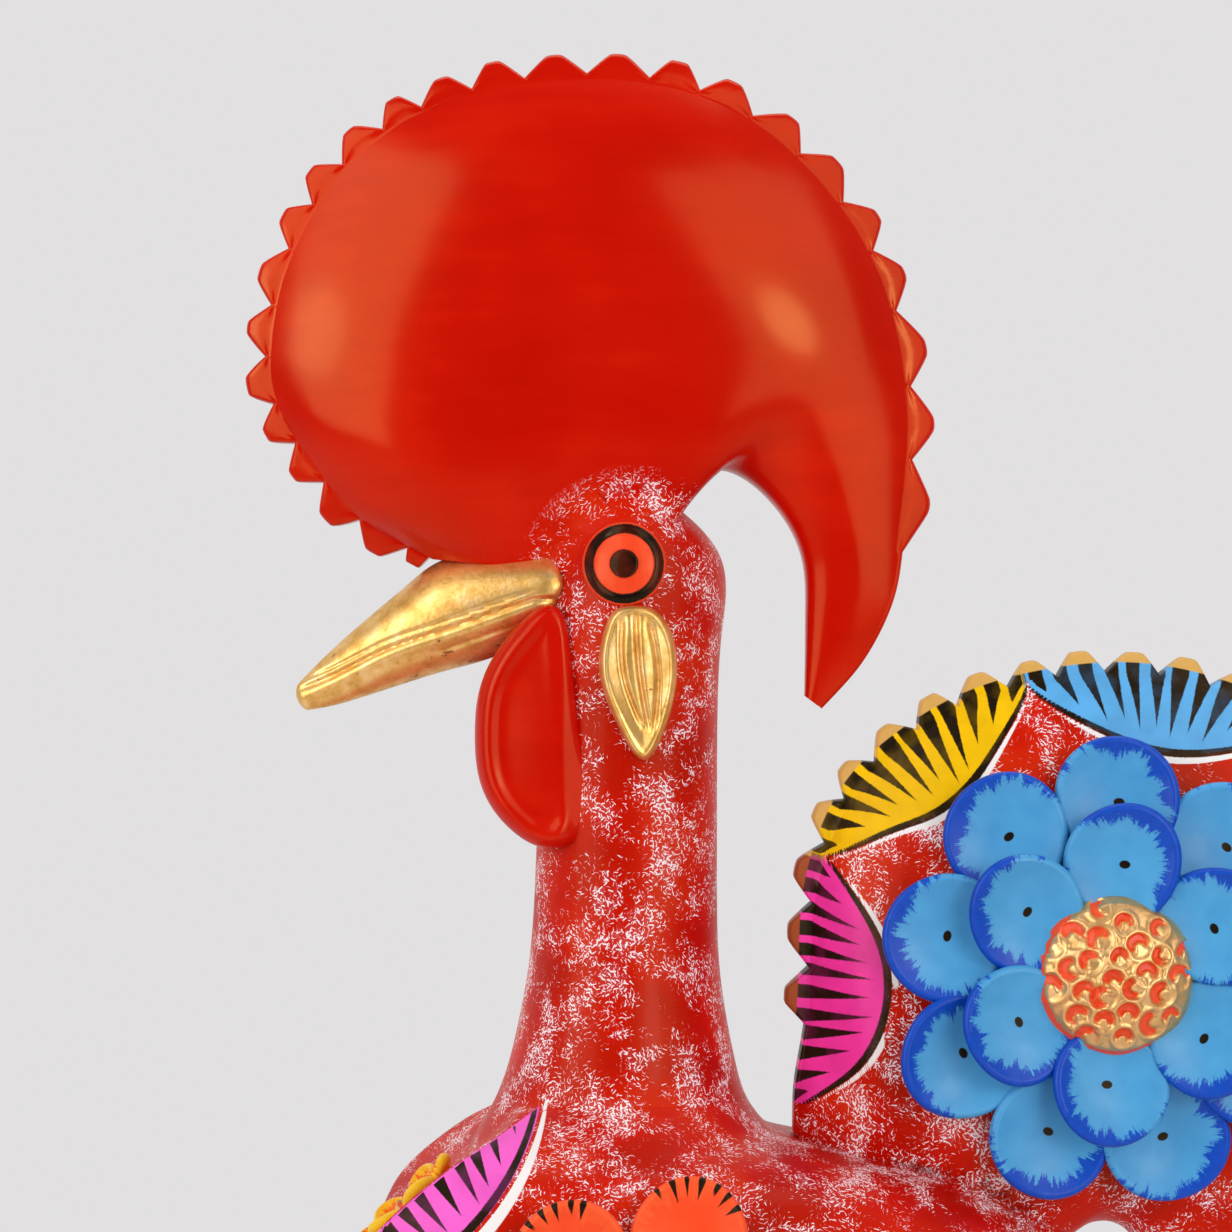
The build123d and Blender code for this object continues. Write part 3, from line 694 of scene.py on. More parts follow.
# %% Breast fan
body_xz = body_grid[..., [0, 2]] - FACET_HEAD
ridge_along = -(body_xz @ facet_dir)
ridge_deep = -(body_xz @ facet_out)
over_dish = -ridge_deep - dish_floor(body_grid[..., 1])
off_flank = 40 * (1 - rise(14, 24, np.abs(body_grid[..., 1])) * rise(-0.3, -0.9, over_dish))
*breast_fan, brush = fan_paint(ridge_along, np.maximum(ridge_deep, 0), -3.0, 78.0, 16.6, 13,
                               bow=0.5, strip=1.1, band=3.2, bold=1.25)
brush = brush + stacked(0, off_flank, 0)
body_marks = marks_of(*[mark - off_flank for mark in breast_fan], brush, ORCHID)
print("breast fan", round(float(body_marks["marks"][..., 0].max()), 1), "mm deep")

# %% [markdown]
# A brush stroke is wide at the rim and runs out to a point. The mesh is too coarse for such points, so
# the material draws the strokes. Chance shifts each one within its pitch and changes its length and
# width, as a hand does, by a random colour that belongs to the number of the stroke.


# %% Brush strokes
def stroke_ink(tree):
    """Ink of the fan's strokes in mm: pitch * (width * (1 - t)^0.8 - offset), t the share of the length."""
    brush = add(tree, "Attribute", attribute_name="brush").outputs["Vector"]
    across, reach, pitch = add(tree, "SeparateXYZ", brush).outputs
    dice = add(tree, "TexWhiteNoise", add(tree, "Math FLOOR", across), noise_dimensions="1D")
    shifted, longer, wider = add(tree, "SeparateColor", dice.outputs["Color"]).outputs
    middle = add(tree, "MapRange", shifted, 0.0, 1.0, 0.4, 0.6)
    length = add(tree, "MapRange", longer, 0.0, 1.0, 0.72, 0.98)
    width = add(tree, "MapRange", wider, 0.0, 1.0, 0.31, 0.4)
    offset = add(tree, "Math SUBTRACT", add(tree, "Math FRACT", across), middle)
    used = add(tree, "Math DIVIDE", reach, length)
    left = add(tree, "Math SUBTRACT", 1.0, used, use_clamp=True)
    body = add(tree, "Math MULTIPLY_ADD", add(tree, "Math POWER", left, 0.8), width, -0.02)
    ink = add(tree, "Math SUBTRACT", body, add(tree, "Math ABSOLUTE", offset))
    return add(tree, "Math MULTIPLY", ink, pitch)


# %% [markdown]
# The painter lays the fan's field over the flecked lacquer, then the white line, then the ink, and last
# the gilding on the tips of the teeth, and the material mixes them in that order. The brush is dry, so a
# fine noise eats the edge of the ink.


# %% Painted lacquer
def ornament(tree, place, ground):
    """Colour of the ornament over a ground: each mark is cut at zero, with a dry-brush noise on the ink."""
    marks = add(tree, "Attribute", attribute_name="marks").outputs["Vector"]
    colour = add(tree, "Attribute", attribute_name="fan_colour")
    field, line, white = add(tree, "SeparateXYZ", marks).outputs
    dry = add(tree, "TexNoise", place, PER_MM / 0.7, 3.0, 0.7)
    eaten = add(tree, "MapRange", dry, 0.35, 0.75, 0.0, -0.18)
    inked = add(tree, "Math ADD", add(tree, "Math MAXIMUM", line, stroke_ink(tree)), eaten)
    in_field, in_white, in_ink = (
        add(tree, "MapRange", mark, -soft, soft, interpolation_type="SMOOTHSTEP")
        for mark, soft in ((field, 0.1), (white, 0.12), (inked, 0.18))
    )
    tone = add(tree, "TexNoise", place, PER_MM / 9, 3.0)
    dim = add(tree, "MapRange", tone, 0.3, 0.7, 0.86, 1.06)
    fan = add(tree, "Mix RGBA", 1.0, colour, dim, blend_type="MULTIPLY")
    wash = add(tree, "MapRange", tone, 0.35, 0.55, 0.9, 1.0)
    thin_ink = add(tree, "Math MULTIPLY", in_ink, wash)
    on_tip = add(tree, "MapRange", colour.outputs["Alpha"], -0.15, 0.15)
    green = add(tree, "SeparateColor", colour).outputs["Green"]
    gilding = add(tree, "Mix RGBA", add(tree, "MapRange", green, 0.08, 0.2), COPPER, GILT)
    for cut, paint in ((in_field, fan), (in_white, PAINT_WHITE), (thin_ink, INK), (on_tip, gilding)):
        ground = add(tree, "Mix RGBA", cut, ground, paint)
    return ground


# the same matt flecked paint, with the fans brushed over it
painted_red, tree, place = new_material("painted_flecked_lacquer")
colour, mask = flecked(tree, place)
glossy(tree, ornament(tree, place, colour), mask, rough=0.42, coat=0.06, bump=0.2, depth=0.1 * MM, shine=0.25)

body = surface("body_skin", [body_grid], single(body_marks))
lay(body, painted_red, "flecked_red", "body")
neck = surface("neck_skin", [neck_grid])
lay(neck, flecked_red, "flecked_red", "neck")

# %% [markdown]
# Comb and tail are pillows of clay. They could be inflated from an outline, but sections that turn round
# a root like the sticks of a fan keep the outline and give the pillow its swell. Each stick has its
# root, its place on the rim and its half thickness. The rim is notched by hand, so the teeth vary in
# width: those in sight are read off the photograph one by one, and the rest of the tail goes on evenly.

# %% Comb and tail stations
# root, rim, half thickness
COMB = [
    ((-62, 456), (-104, 460.3), 11.5), ((-61, 460), (-122.9, 471), 15),
    ((-60, 464.5), (-133, 481.5), 17.5), ((-57, 466), (-146.8, 503), 20),
    ((-54, 467.5), (-148.8, 524), 22), ((-51.5, 468.5), (-143.2, 546), 23.5),
    ((-49, 469.5), (-128.2, 570), 24.5), ((-47, 470), (-105.8, 586.4), 25),
    ((-44.5, 470), (-77.3, 594.3), 25), ((-42, 470), (-46, 595), 25),
    ((-39, 470), (-16.5, 585.8), 24.5), ((-35.5, 470.5), (8.5, 564.3), 23),
    ((-31.5, 475.5), (24.3, 537), 20), ((-28, 483), (30.8, 508), 16.5), ((-19.5, 484.6), (31, 486), 14),
    ((-8, 476), (28.8, 465.5), 11.5), ((0.2, 461.5), (26.2, 449.5), 9.5),
    ((1.5, 446), (19.6, 435), 7.5), ((1.4, 434.5), (13, 426), 5.7), ((1.2, 422), (6, 418.4), 3.5),
]
TAIL = [
    ((38, 270), (-2, 300), 14), ((40, 270), (-1.5, 314), 18), ((42, 269.5), (0.9, 328), 20.5),
    ((43.5, 269), (2.3, 346), 23), ((46, 268), (3.8, 369), 25), ((49, 267), (12.5, 393), 26.5),
    ((52, 266), (27, 408.5), 27.5), ((55, 266), (46, 420), 28), ((58, 265.5), (68, 426.5), 28),
    ((61, 265.5), (92, 428.5), 28), ((64, 265.5), (116, 424), 27.5), ((67.5, 267), (139, 413), 26.5),
    ((72, 270), (159, 394), 25), ((77, 274), (173, 369), 23.5), ((83, 275.8), (180.5, 340), 21.5),
    ((89.5, 274), (181, 309), 19), ((95, 267), (174, 279), 16), ((99.5, 255), (162, 252), 13),
    ((105, 240), (148, 230), 10), ((112, 225), (135, 214.5), 7.5), ((119, 213), (125, 207), 4.5),
]
# widths of the hand-cut teeth in order along each rim
COMB_TEETH = [
    6.5, 15.5, 14.5, 13.5, 12.5, 13.5, 14.5, 16.5, 14, 14, 15, 12.5, 15, 15, 17.5, 17.5, 14.5, 16.5, 17,
    18, 16, 18, 21.5, 20.5, 26,
]
TAIL_TEETH = [16, 18, 17, 13.5, 13.5, 15, 13, 15, 14, 13.5, 15] + [14.5] * 20
TOOTH_DEPTH, TOOTH_FLAT, TOOTH_SLOPE = 6.2, 4.0, 0.42
RIM_SHARP, ROOT_BLUNT, EDGE_ROUND = 2.0, 0.55, 1.2
print("comb", len(COMB), "stations", len(COMB_TEETH), "teeth, tail", len(TAIL), "stations")

# %% [markdown]
# A tooth is a trapezoid with softened corners: up, along its flat top, and down to the next notch. Its
# depth, its top and its lean vary a little. Notches cut with a Boolean would leave slivers, so the
# sticks are set at the places where the outline bends.


# %% Notched rim
def rim_places(total, start, widths):
    """Places along a rim and the height of the notched edge there: trapezoid teeth with softened corners."""
    valley = start + np.concatenate([[0], np.cumsum(widths)])
    valley = valley[valley <= total - 2 * TOOTH_FLAT]
    step = np.diff(valley)[:, None]
    flat = TOOTH_FLAT * rng.uniform(0.85, 1.15, step.shape)
    deep = TOOTH_DEPTH * rng.uniform(0.93, 1.04, step.shape) * np.minimum(step / 11, 1)
    skew = rng.uniform(-0.04, 0.04, step.shape) * step
    up, down = (step - flat) / 2 + skew, (step - flat) / 2 - skew
    slope = np.array([0, 0.05, 0.25, 0.5, 0.75, 0.95])
    top = np.array([0, 0.1, 0.4, 0.7, 0.93])
    at = np.hstack([slope * up, up + top * flat, up + flat + (1 - slope[::-1]) * down])
    tall = soft_min(soft_min(deep * at / up, deep * (step - at) / down, 0.5), deep, 1.0)
    plain = np.linspace(0, start, max(int(start / 1.2), 2))[:-1]
    places = np.concatenate([plain, (valley[:-1, None] + at).ravel(), np.linspace(valley[-1], total, 24)])
    heights = np.concatenate([0 * plain, np.maximum(tall, 0).ravel(), np.zeros(24)])
    return places, heights


def rim_line(stations):
    """Rim of a fan as a fine line: station numbers, points, and the length along it."""
    fine = np.linspace(0, len(stations) - 1, 6000)
    line = spline([s[1] for s in stations], fine)
    return fine, line, np.concatenate([[0], np.cumsum(np.linalg.norm(np.diff(line, axis=0), axis=1))])


print("rims of comb and tail", [round(float(rim_line(fan)[2][-1]), 1) for fan in (COMB, TAIL)], "mm long")

# %% [markdown]
# The face of the pillow runs on over the teeth, which get thinner to a rounded edge. Both faces and the rim
# make one grid, which closes at its two ends on the mid-plane.


# %% Teeth and faces
def tooth_rows(tall, thick):
    """Heights above the rim and half thickness of the rows over a tooth, which thins and ends in a round."""
    corner = np.radians([30, 60, 90])
    lip = np.array([0.33, 0.66, 1.0]) * tall - EDGE_ROUND
    lip = np.hstack([lip, tall - EDGE_ROUND + EDGE_ROUND * np.sin(corner)])
    thick = thick * (1 - TOOTH_SLOPE * np.clip(lip / TOOTH_DEPTH, 0, 1))
    return lip, thick + np.array([0, 0, 0, *(EDGE_ROUND * (np.cos(corner) - 1))])


def both_faces(xz, thick, deep, place):
    """Left face, rim and right face as one grid, closed at both ends on the mid-plane; places and depths."""
    side = np.hstack([-thick, thick[:, ::-1]])
    xz, deep = np.hstack([xz, xz[:, ::-1]]), np.hstack([deep, deep[:, ::-1]])
    grid = stacked(xz[..., 0], side, xz[..., 1])
    ends = grid[[0, -1]] * np.array([1, 0, 1])
    grid = np.concatenate([ends[:1], grid, ends[1:]])
    deep = np.concatenate([deep[:1], deep, deep[-1:]])
    along = np.concatenate([place[:1], place, place[-1:]])[:, None]
    return grid, np.broadcast_to(along, deep.shape), deep


print("a tooth is", TOOTH_DEPTH, "mm deep and loses", TOOTH_SLOPE, "of its thickness up to the edge")

# %% [markdown]
# A section is a lens that is sharp towards the rim and blunt at the root, as clay is that was pressed
# thinner towards its edge. Where the pillow meets the head or the back, a soft maximum with that form
# makes the fillet.


# %% Fan skin
def fan_skin(stations, teeth, edge, host, fillet, band, rows):
    """Closed skin of a fan and, for each point, the place along the rim and the depth below it.

    With out running from 0 at the root to 1 at the rim and lens = 2*sqrt(out*(1 - out)), the half thickness
    is half*lens^ROOT_BLUNT up to the middle and falls as lens^RIM_SHARP to the edge's own beyond it. The
    band below the rim has more rows, for the paint.
    """
    root, rim = (np.array([s[k] for s in stations], float) for k in (0, 1))
    half = np.array([[s[2]] for s in stations], float)
    fine, line, length = rim_line(stations)
    place, tall = rim_places(length[-1], *teeth)
    u = np.interp(place, length, fine)
    ahead = np.gradient(line, axis=0)
    ahead /= np.linalg.norm(ahead, axis=1)[:, None]
    ahead = stacked(*[np.interp(place, length, ahead[:, k]) for k in (0, 1)])
    rim, root, half = spline(rim, u), spline(root, u), spline(half, u)
    stick = np.linalg.norm(rim - root, axis=1)[:, None]
    near = EDGE_ROUND + (np.minimum(band, 0.55 * stick) - EDGE_ROUND) * np.linspace(0, 1, rows)
    rest = near[:, -1:] + (stick - near[:, -1:]) * np.sin(np.linspace(0, np.pi / 2, 21)[1:])
    deep = np.hstack([near, rest])[:, ::-1]
    out = 1 - deep / stick
    lens = 2 * np.sqrt(np.clip(out * (1 - out), 0, None))
    lip_half = np.minimum(edge, 0.8 * half)
    thick = np.where(out > 0.5, lip_half + (half - lip_half) * lens**RIM_SHARP, half * lens**ROOT_BLUNT)
    xz = root[:, None] + (rim - root)[:, None] * out[..., None]
    thick = soft_max(thick, host(xz[..., 0], xz[..., 1]) - 0.6, fillet)
    thick[:, 0] = 0
    lip, lip_thick = tooth_rows(tall[:, None], thick[:, -1:])
    lip_xz = rim[:, None] + stacked(-ahead[:, 1], ahead[:, 0])[:, None] * lip[..., None]
    return both_faces(np.hstack([xz, lip_xz]), np.hstack([thick, lip_thick]), np.hstack([deep, -lip]), place)


# %% [markdown]
# The comb stands on the head, so it has a wide soft joint with the form of the head in the side view.


# %% Comb
def head_reach(x, z):
    """Half width of the head and neck in the side view."""
    return side_reach(NECK, x, z)


comb_grid, _, _ = fan_skin(
    COMB, (0.0, COMB_TEETH), edge=5.0, host=head_reach, fillet=15.0, band=14.0, rows=14)
comb = surface("comb_skin", [comb_grid])
lay(comb, comb_red, "red_lacquer", "comb")

# %% [markdown]
# The tail stands on the back and carries fans in a row along its rim. The pillow's sticks don't stand
# square to the rim, so for the paint each point takes the nearest place on the rim and its distance to it.


# %% Tail skin
def belly_reach(x, z):
    """Half width of the belly in the side view."""
    return side_reach(BELLY, x, z, BREAST_BLUNT, RUMP_BLUNT)


tail_grid, tail_along, tail_deep = fan_skin(
    TAIL, (30.5, TAIL_TEETH), edge=5.2, host=belly_reach, fillet=8.0, band=46.0, rows=56)
_, tail_rim, tail_length = rim_line(TAIL)
tail_rim, tail_length = tail_rim[::2], tail_length[::2]


def rim_place(x, z):
    """Place along the tail's rim that is nearest to a point of the side view, and the distance to it."""
    gap = np.hypot(np.asarray(x)[..., None] - tail_rim[:, 0], np.asarray(z)[..., None] - tail_rim[:, 1])
    return tail_length[gap.argmin(axis=-1)], gap.min(axis=-1)


near_rim = [rim_place(row[:, 0], row[:, 2]) for row in tail_grid]
below_rim = tail_deep > 1
tail_along = np.where(below_rim, np.array([n[0] for n in near_rim]), tail_along)
tail_deep = np.where(below_rim, np.array([n[1] for n in near_rim]), tail_deep)
print("tail", tail_grid.shape, "deepest", round(float(tail_deep.max()), 1), "mm")

# %% [markdown]
# The ends of the first fans are read off the photograph, and the others follow at about the same pace.
# Each fan paints only the points between its own ends.

# %% Tail fans
TAIL_FAN_ENDS = ((1.6, 307.6), (5.5, 377.5), (63, 425.5))
TAIL_FAN_STEPS = (80, 160, 236, 308)     # ends of the fans behind them, beyond the last of these
FAN_COLOURS = [MAGENTA, YELLOW, SKY, YELLOW, MAGENTA, SKY]
FAN_DEPTH, FAN_STROKES = 20.7, 12
TIP_GILT = 2.9     # the gilding starts this far above the notches
NEXT_FAN = 20.0     # added to the numbers of the strokes, so that each fan has its own


def fan_row(along, deep, ends, colours, depth, count, tip=-OFF, within=True):
    """Marks of fans side by side, each on the points between its two ends."""
    marks = bare_marks(along.shape, colours[0])
    for k, (first, last) in enumerate(zip(ends, ends[1:])):
        fan = marks_of(*fan_paint(along, deep, first, last, depth, count), colours[k % len(colours)], tip)
        fan["brush"] = fan["brush"] + np.array([NEXT_FAN * k, 0, 0])
        own = ((along >= first) & (along <= last) & within)[..., None]
        marks = {key: np.where(own, fan[key], marks[key]) for key in fan}
    return marks


fan_ends = [float(rim_place(*spot)[0]) for spot in TAIL_FAN_ENDS]
fan_ends += [fan_ends[-1] + step for step in TAIL_FAN_STEPS]
tail_marks = fan_row(tail_along, tail_deep, fan_ends, FAN_COLOURS, FAN_DEPTH, FAN_STROKES,
                     tip=-tail_deep - TIP_GILT)
tail = surface("tail_skin", [tail_grid], single(tail_marks))
lay(tail, painted_red, "flecked_red", "tail")

# %% [markdown]
# The beak is a cone of clay. Its sections stand upright between the upper and the lower line of the side
# view, and it is rounded off at the tip and behind, where it is luted to the face.

# %% Beak form
# upper point, lower point, half width
BEAK = [
    ((-65, 463.5), (-67, 442), 18.5), ((-84, 463), (-84, 433.5), 16.5), ((-100, 460), (-97, 429.5), 14),
    ((-110, 453), (-107, 426.6), 11.5), ((-122, 442.9), (-119, 422.7), 8.5),
    ((-133.5, 432.5), (-130, 419.4), 5.2), ((-141.9, 423.8), (-139.4, 417.7), 2.4),
]
tip_u = len(BEAK) - 1
quarter = np.pi / 2
u = np.concatenate([
    0.6 * (1 - np.cos(np.linspace(0, quarter, 24)))[:-1], np.linspace(0.6, tip_u - 1, 80),
    tip_u - 1 + np.sin(np.linspace(0, quarter, 14)[1:]),
])
upper, lower = (spline([s[k] for s in BEAK], u) for k in (0, 1))
wide = spline([[s[2]] for s in BEAK], u)
tip_round = np.sqrt(np.clip(1 - np.clip((u - 5.8) / 0.2, 0, 1) ** 2, 0, 1))[:, None]
rear_round = (1 - np.clip(1 - u / 0.45, 0, 1) ** 2.6)[:, None] ** 0.4
ring = np.linspace(0, 2 * np.pi, 161)
arm = (upper - lower) / 2 * tip_round * rear_round
beak_xz = ((upper + lower) / 2)[:, None] + arm[:, None] * np.cos(ring)[None, :, None]
beak_side = wide * tip_round * (0.82 + 0.18 * rear_round) * np.sin(ring)
print("beak", round(2 * float(beak_side.max()), 1), "mm wide")

# %% [markdown]
# The mouth is drawn by strokes of a tool: a groove along the mouth, a finer one above it towards the
# face and a short one below, with a soft swelling for the lower lip. Each is a smooth bump across its
# line, pressed into the mesh, because a bump in the material would not be part of the mesh.

# %% Beak
MOUTH = [(-143, 423), (-132.4, 426.8), (-115.7, 434.9), (-100.7, 439.9), (-83, 446), (-74, 449)]
BEAK_TIP = (-140.2, 0, 421.2)


def line_gap(x, z, places):
    """Height of points of the side view above a smooth line drawn through places in order of x."""
    places = np.array(places, float)
    return z - spline(places[:, 1:], np.clip(x, places[0, 0], places[-1, 0]), places[:, 0])[..., 0]


def bump_at(gap, width):
    """Smooth bump exp(-(gap/width)^2)."""
    return np.exp(-((gap / width) ** 2))


x, z = np.moveaxis(beak_xz, -1, 0)
above = line_gap(x, z, MOUTH)
press = 0.9 * bump_at(above, 0.75) + 0.5 * bump_at(above - 2.3, 0.6) * rise(-72, -80, x)
press += 0.45 * bump_at(above + 5.5, 0.6) * rise(-104, -96, x)
press -= 0.5 * bump_at(above + 2.4, 1.4)
press *= rise(-142, -136, x) * np.minimum(np.abs(np.sin(ring)) * 1.5, 1)
side = np.sign(beak_side) * np.maximum(np.abs(beak_side) - press, 0)
# the rows shrink to a line behind, so only the tip needs its closing point
beak_grid = np.concatenate([stacked(x, side, z), np.broadcast_to(BEAK_TIP, (1, len(ring), 3))])
beak = surface("beak_skin", [beak_grid])
lay(beak, gold_leaf, "gold_leaf", "beak")

# %% [markdown]
# Wattles, ear lobes and eyes are flat pads of clay pressed on the head. A pad is a grid that runs from the
# middle of its outline to its edge and round to its back. How far a point lies inside the edge gives the
# rounded lip, and the relief is what the thumb and the tool did to its face.


# %% Pads
LIP_R = 2.5


def pad_grid(outline, middle, face, relief, thick, count=120):
    """Pad on the left side: y = face(x, z) - relief(d), d the distance inside the edge, then the back."""
    edge = closed_spline(outline, count)
    ray = np.vstack([edge, edge[:1]]) - np.array(middle)
    share = np.concatenate([
        np.linspace(0, 0.7, 36)[:-1], 0.7 + 0.3 * np.sin(np.linspace(0, np.pi / 2, 26)),
    ])
    x, z = np.moveaxis(np.array(middle) + ray[None] * share[:, None, None], -1, 0)
    shore = closed_spline(outline, 720)
    deep = np.sqrt(((stacked(x, z)[:, :, None] - shore) ** 2).sum(axis=-1).min(axis=-1))
    lip = np.sqrt(np.clip(1 - (1 - np.clip(deep / LIP_R, 0, 1)) ** 2, 0, 1))
    base = face(x, z)
    front = stacked(x, base - relief(deep, x, z) * lip, z)
    under = stacked(x, base + thick, z)[::-1]
    return np.concatenate([front, under[[0, 20, -1]]])


# %% [markdown]
# A wattle is a leaf that leans out from the beak to the neck. A roll stands up along its leading and lower
# edge, and its rear edge sinks into the neck.

# %% Wattles
WATTLE = [
    (-68, 447), (-86, 432), (-90.5, 413), (-88.4, 396.5), (-80.5, 385.4), (-69, 380.4), (-62.6, 383.2),
    (-59.8, 389.5), (-60.8, 408), (-63.5, 431),
]
WATTLE_MIDDLE, WATTLE_BACK = (-74, 410), 4.0


def wattle_face(x, z):
    """Flat back of the pad, leaning out from the leading edge to the neck."""
    return -(15.0 + 5.0 * (x + 90.5) / 30.5)


def wattle_relief(deep, x, z):
    """Gently domed pad with a roll along the leading and lower edge that stands 1.6 mm proud."""
    dome = 1.4 * np.exp(-(((x + 70) / 13) ** 2) - ((z - 412) / 24) ** 2)
    leading = np.maximum(rise(-66, -76, x), rise(396, 386, z)) * rise(-62, -68, x)
    sunk = 2.2 * rise(-67, -60, x)
    return 3.2 + dome - sunk + 1.6 * bump_at(deep - 3.9, 2.5) * leading


wattle_grid = pad_grid(WATTLE, WATTLE_MIDDLE, wattle_face, wattle_relief, WATTLE_BACK)
pair("wattle_skin", [wattle_grid], satin_red, "red_lacquer", "wattle")

# %% [markdown]
# An ear lobe is a gilded leaf with a raised edge and three folds that run together low down.

# %% Ear lobes
EAR = [
    (-46.5, 447.2), (-41, 446), (-36.4, 440), (-34.7, 431), (-37, 416.5), (-43.8, 404.9), (-51.3, 415),
    (-56.2, 430.5), (-54.6, 441), (-51.7, 446),
]
# each fold as places (height, x), from below
EAR_FOLDS = [
    [(414, -44.2), (427, -49.1), (445, -49.6)], [(414, -42.5), (429, -45.1), (446, -46)],
    [(413.5, -41), (429, -40), (443.5, -42.4)],
]
EAR_MIDDLE, EAR_BACK = (-45.5, 427), 1.5


def on_head(x, z):
    """The left side of the head."""
    return -head_reach(x, z)


def ear_relief(deep, x, z):
    """Leaf with a raised edge, swelling to its middle, with folds of 0.75 mm pressed 1.1 mm into it."""
    fold = np.zeros_like(x)
    for places in np.array(EAR_FOLDS):
        low, high = places[0, 0], places[-1, 0]
        axis = spline(places[:, 1:], np.clip(z, low, high), places[:, 0])[..., 0]
        ends = rise(low - 2, low + 3, z) * rise(high + 1, high - 3, z)
        fold = np.maximum(fold, bump_at(x - axis, 0.75) * ends)
    swell = 0.7 * rise(2.5, 8, deep)
    return 3.3 - 0.6 * rise(1.2, 2.6, deep) + swell - 1.1 * fold * rise(1.2, 3, deep)


ear_grid = pad_grid(EAR, EAR_MIDDLE, on_head, ear_relief, EAR_BACK, 160)
pair("earlobe_skin", [ear_grid], gold_leaf, "gold_leaf", "earlobe")

# %% [markdown]
# The eye is a small disc painted orange, with a black ring in a shallow groove near its edge and a black
# pupil that stands a little proud. It lies on the head, and at its top it leaves the skull's curve.

# %% Eye
EYE, EYE_R, EYE_BACK = np.array([-49.3, 458.6]), 11.5, 1.5
RING_R, RING_HALF, PUPIL_R = 9.6, 1.4, 4.0
BROW_Z = 466
EYE_ORANGE = linear("#F04426")
steps = np.linspace(0, 2 * np.pi, 17)[:-1]
EYE_EDGE = stacked(EYE[0] + EYE_R * np.cos(steps), EYE[1] + EYE_R * np.sin(steps))


def eye_seat(x, z):
    """The left side of the head, going straight up above the brow."""
    return on_head(x, np.minimum(z, BROW_Z))


def eye_relief(deep, x, z):
    """Low dome with a ring sunk 0.5 mm and a pupil standing 0.8 mm proud."""
    r = EYE_R - deep
    ring = 0.5 * rise(RING_HALF + 0.2, RING_HALF - 0.4, np.abs(r - RING_R))
    return 2.2 + 0.9 * (1 - (r / EYE_R) ** 2) - ring + 0.8 * rise(PUPIL_R + 0.2, PUPIL_R - 0.5, r)


eye_grid = pad_grid(EYE_EDGE, EYE, eye_seat, eye_relief, EYE_BACK)
radius = np.hypot(eye_grid[..., 0] - EYE[0], eye_grid[..., 2] - EYE[1])
eye_marks = bare_marks(radius.shape, EYE_ORANGE)
eye_marks["marks"][..., 1] = np.maximum(PUPIL_R - radius, RING_HALF - np.abs(radius - RING_R))

# orange enamel, smooth and without strong reflections, so that the black drawing reads
eye_paint, tree, place = new_material("eye_enamel")
tone = add(tree, "TexNoise", place, PER_MM / 4, 3.0)
orange = add(tree, "Mix RGBA", tone, linear("#E93A1C"), linear("#F6552F"))
glossy(tree, ornament(tree, place, orange), tone, rough=0.25, shine=0.2)
pair("eye_skin", [eye_grid], eye_paint, "eye_paint", "eye", single(eye_marks))

# %% [markdown]
# Each flower is pressed on petal by petal: a ball of clay flattened with the thumb to a shallow spoon
# with a rolled rim, the outer ring first, then the inner ring over it, then a domed boss stamped with a
# reed. Copies of one petal would look cast, so outline, depth and roll vary from one to the next.

# %% Petals
PETAL_T, PETAL_CUP, PETAL_CURVE = 3.4, 3.6, 2.2     # thickness, depth of the bowl, power of its curve
PETAL_ROUND = PETAL_T / 2


def petal_shape(radius):
    """Petal, tip along +y: bowl h = cup*(r/R)^2.2 raised at the tip, a half-round rim, and the back."""
    way = np.linspace(0, 2 * np.pi, 97)
    lobes = 1 + 0.02 * np.cos(2 * way + rng.uniform(0, 6)) + 0.014 * np.cos(3 * way + rng.uniform(0, 6))
    cup = PETAL_CUP * rng.uniform(0.85, 1.1) * (0.9 + 0.22 * np.sin(way))
    inner, back = np.linspace(0, 1, 30)[:, None], np.linspace(1, 0, 10)[:, None]
    roll = np.linspace(0, np.pi, 9)[1:-1, None]
    body = radius * lobes - PETAL_ROUND
    rim_r, rim_h = body + PETAL_ROUND * np.sin(roll), cup - PETAL_ROUND + PETAL_ROUND * np.cos(roll)
    r = np.vstack([inner * body, rim_r, back * body])
    h = np.vstack([cup * inner**PETAL_CURVE, rim_h, cup * back**PETAL_CURVE - PETAL_T])
    h += 0.35 * np.sin(2 * way + rng.uniform(0, 6)) * (r / radius) ** 2
    local = stacked(r * np.cos(way), r * np.sin(way), h)
    return local, stacked(local[..., 0] / radius, local[..., 1] / radius, rng.uniform(0, 50))


print("a petal is", PETAL_T, "mm thick and its bowl", PETAL_CUP, "mm deep")

# %% [markdown]
# A petal lies on what it is pressed on, but keeps its own form. So its seat is a plane laid on the
# points of the skin around it, and not the skin itself. It is then tilted inwards and rolled a little
# over its neighbour.


# %% Rings of petals
SEAT_REACH, SEAT_QUANTILE = 11.0, 0.08     # mm round a seat, and the share of points left outside its plane
ROLL, ROLL_CHANCE = 4.0, 1.5     # degrees


def seat_on(cloud, x, z):
    """Point and outward normal of a left skin at a place of the side view, from a plane on near points."""
    near = cloud[np.hypot(cloud[:, 0] - x, cloud[:, 2] - z) < SEAT_REACH]
    system = np.column_stack([near[:, 0] - x, near[:, 2] - z, np.ones(len(near))])
    tilt_x, tilt_z, y = np.linalg.lstsq(system, near[:, 1], rcond=None)[0]
    y += np.quantile(near[:, 1] - system @ (tilt_x, tilt_z, y), SEAT_QUANTILE)
    normal = np.array([tilt_x, -1, tilt_z])
    return np.array([x, y, z]), normal / np.linalg.norm(normal)


